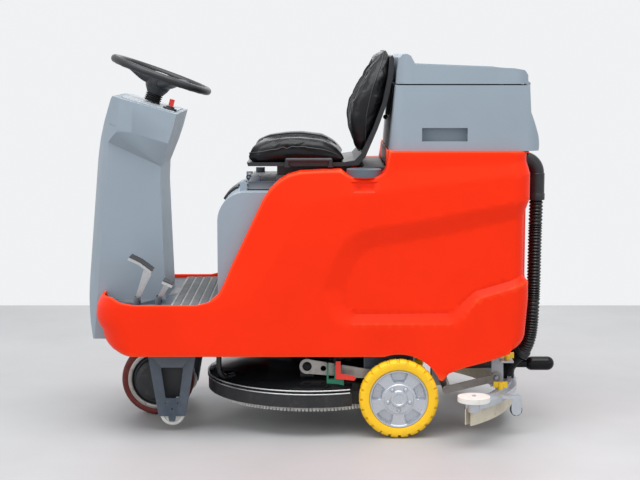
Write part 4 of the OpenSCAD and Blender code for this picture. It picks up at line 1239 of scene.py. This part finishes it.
def bellows():
    """Rubber boot of four folds round the top of the steering shaft."""
    profile = [(15.5, -93.5)]
    for i in range(4):
        base = -93.5 + i * 6.6
        profile += [(23, base), (26.5, base + 1.6), (29, base + 3.3), (26.5, base + 5), (23, base + 6.4)]
    profile += [(21, -67), (15.5, -67)]
    boot = moved(lathe(profile, 64, closed=True), COLUMN_TOP)
    obj = piece("column_boot", *boot, "rubber", "chassis", "black_rubber", 60)
    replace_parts(obj, "column_bellows")


bellows()

# ---------------------------------------------------------------- pedals, deck hoses, drain tube and battery cover


def pedal_pad(name, body, top, half, y):
    """Black ribbed rubber over a pedal's plate; top is the plate's upper outline in X and Z."""
    parts = []
    run = refined(top, 4.5)
    normals = edge_normals(run)
    for i, ((x, z), (nx, nz)) in enumerate(zip(run, normals)):
        parts.append([(x + nx * h, z + nz * h) for h in (0.2, 3.2 if i % 2 else 2.2)])
    verts, faces = [], []
    for low, high in parts:
        for side in (-1, 1):
            verts.append((low[0], y + side * half, low[1]))
            verts.append((high[0], y + side * (half - 0.8), high[1]))
    for i in range(len(parts) - 1):
        a, b = i * 4, i * 4 + 4
        faces += [[a + 1, b + 1, b + 3, a + 3], [a, a + 2, b + 2, b]]
        faces += [[a, b, b + 1, a + 1], [a + 2, a + 3, b + 3, b + 2]]
    faces += [[0, 1, 3, 2], [len(verts) - 4, len(verts) - 2, len(verts) - 1, len(verts) - 3]]
    piece(name, verts, faces, "pad", body, "black_rubber", 30)


pedal_pad("accelerator_pad", "accelerator",
          [(-608, 564.3), (-592, 557), (-575, 548.3), (-556, 534.5), (-537, 519.5)], 34.5, -241)
pedal_pad("brake_pad", "brake", [(-506, 486.3), (-490, 479.5), (-474, 472.3)], 28.5, -228)
cad_copy("accelerator_pedal", 1.2, 2)
cad_copy("brake_pedal", 1.2, 2)

feed = curve_points([(-331, -232, 345), (-331, -232, 262), (-332, -230, 214), (-328, -222, 186),
                     (-312, -205, 168), (-285, -185, 168)], 10)
piece("deck_feed_hose", *tube(feed, 8.5, 16), "hose", "deck", "black_rubber", 60)
cable = curve_points([(-60, -232, 300), (-56, -236, 246), (-30, -240, 214), (10, -232, 205),
                      (36, -214, 214), (44, -200, 300)], 10)
piece("deck_cable", *tube(cable, 4.2, 12), "hose", "deck", "black_rubber", 60)

for a, b, word, look, r in ((392, 436, "start", "tube_red", 17), (436, 462, "band", "yellow", 17.6),
                            (462, 546, "end", "rubber", 16.4)):
    run = [(x, -150 + (x - 392) * 0.12, 197) for x in np.linspace(a, b, 6)]
    piece("drain_tube_" + word, *tube(run, r, 28), look, "chassis", "black_rubber", 40)


def battery_cover():
    """Black cover over the batteries' cables, seen behind the seat."""
    x0, x1, y1, z1 = 118, 200, 226, 846
    body = prism([(x0, 770), (x0, z1 - 12), (x0 + 10, z1), (x1 - 4, z1), (x1, z1 - 4), (x1, 770)], -y1, y1)
    obj = piece("battery_cover", *body, "case", "chassis", "battery_case", 30)
    rounded(obj, 3)


battery_cover()

# ---------------------------------------------------------------- floor and backdrop


def stage_plane(name, look, verts, faces):
    mesh = bpy.data.meshes.new(name)
    mesh.from_pydata(verts, [], faces)
    mesh.materials.append(look)
    obj = bpy.data.objects.new(name, mesh)
    bpy.context.collection.objects.link(obj)
    return obj


floor_look = finish("studio_floor", srgb(176, 177, 178), 0.5, spread=0.05, blotch=1.6, grain=120,
                    grain_depth=0.0002)
FLOOR_BACK = 2.1        # the pale world beyond the floor's edge is the backdrop
stage_plane("studio_floor", floor_look, [(-9, -9, -0.0005), (9, -9, -0.0005), (9, FLOOR_BACK, -0.0005),
                                         (-9, FLOOR_BACK, -0.0005)], [[0, 1, 2, 3]])
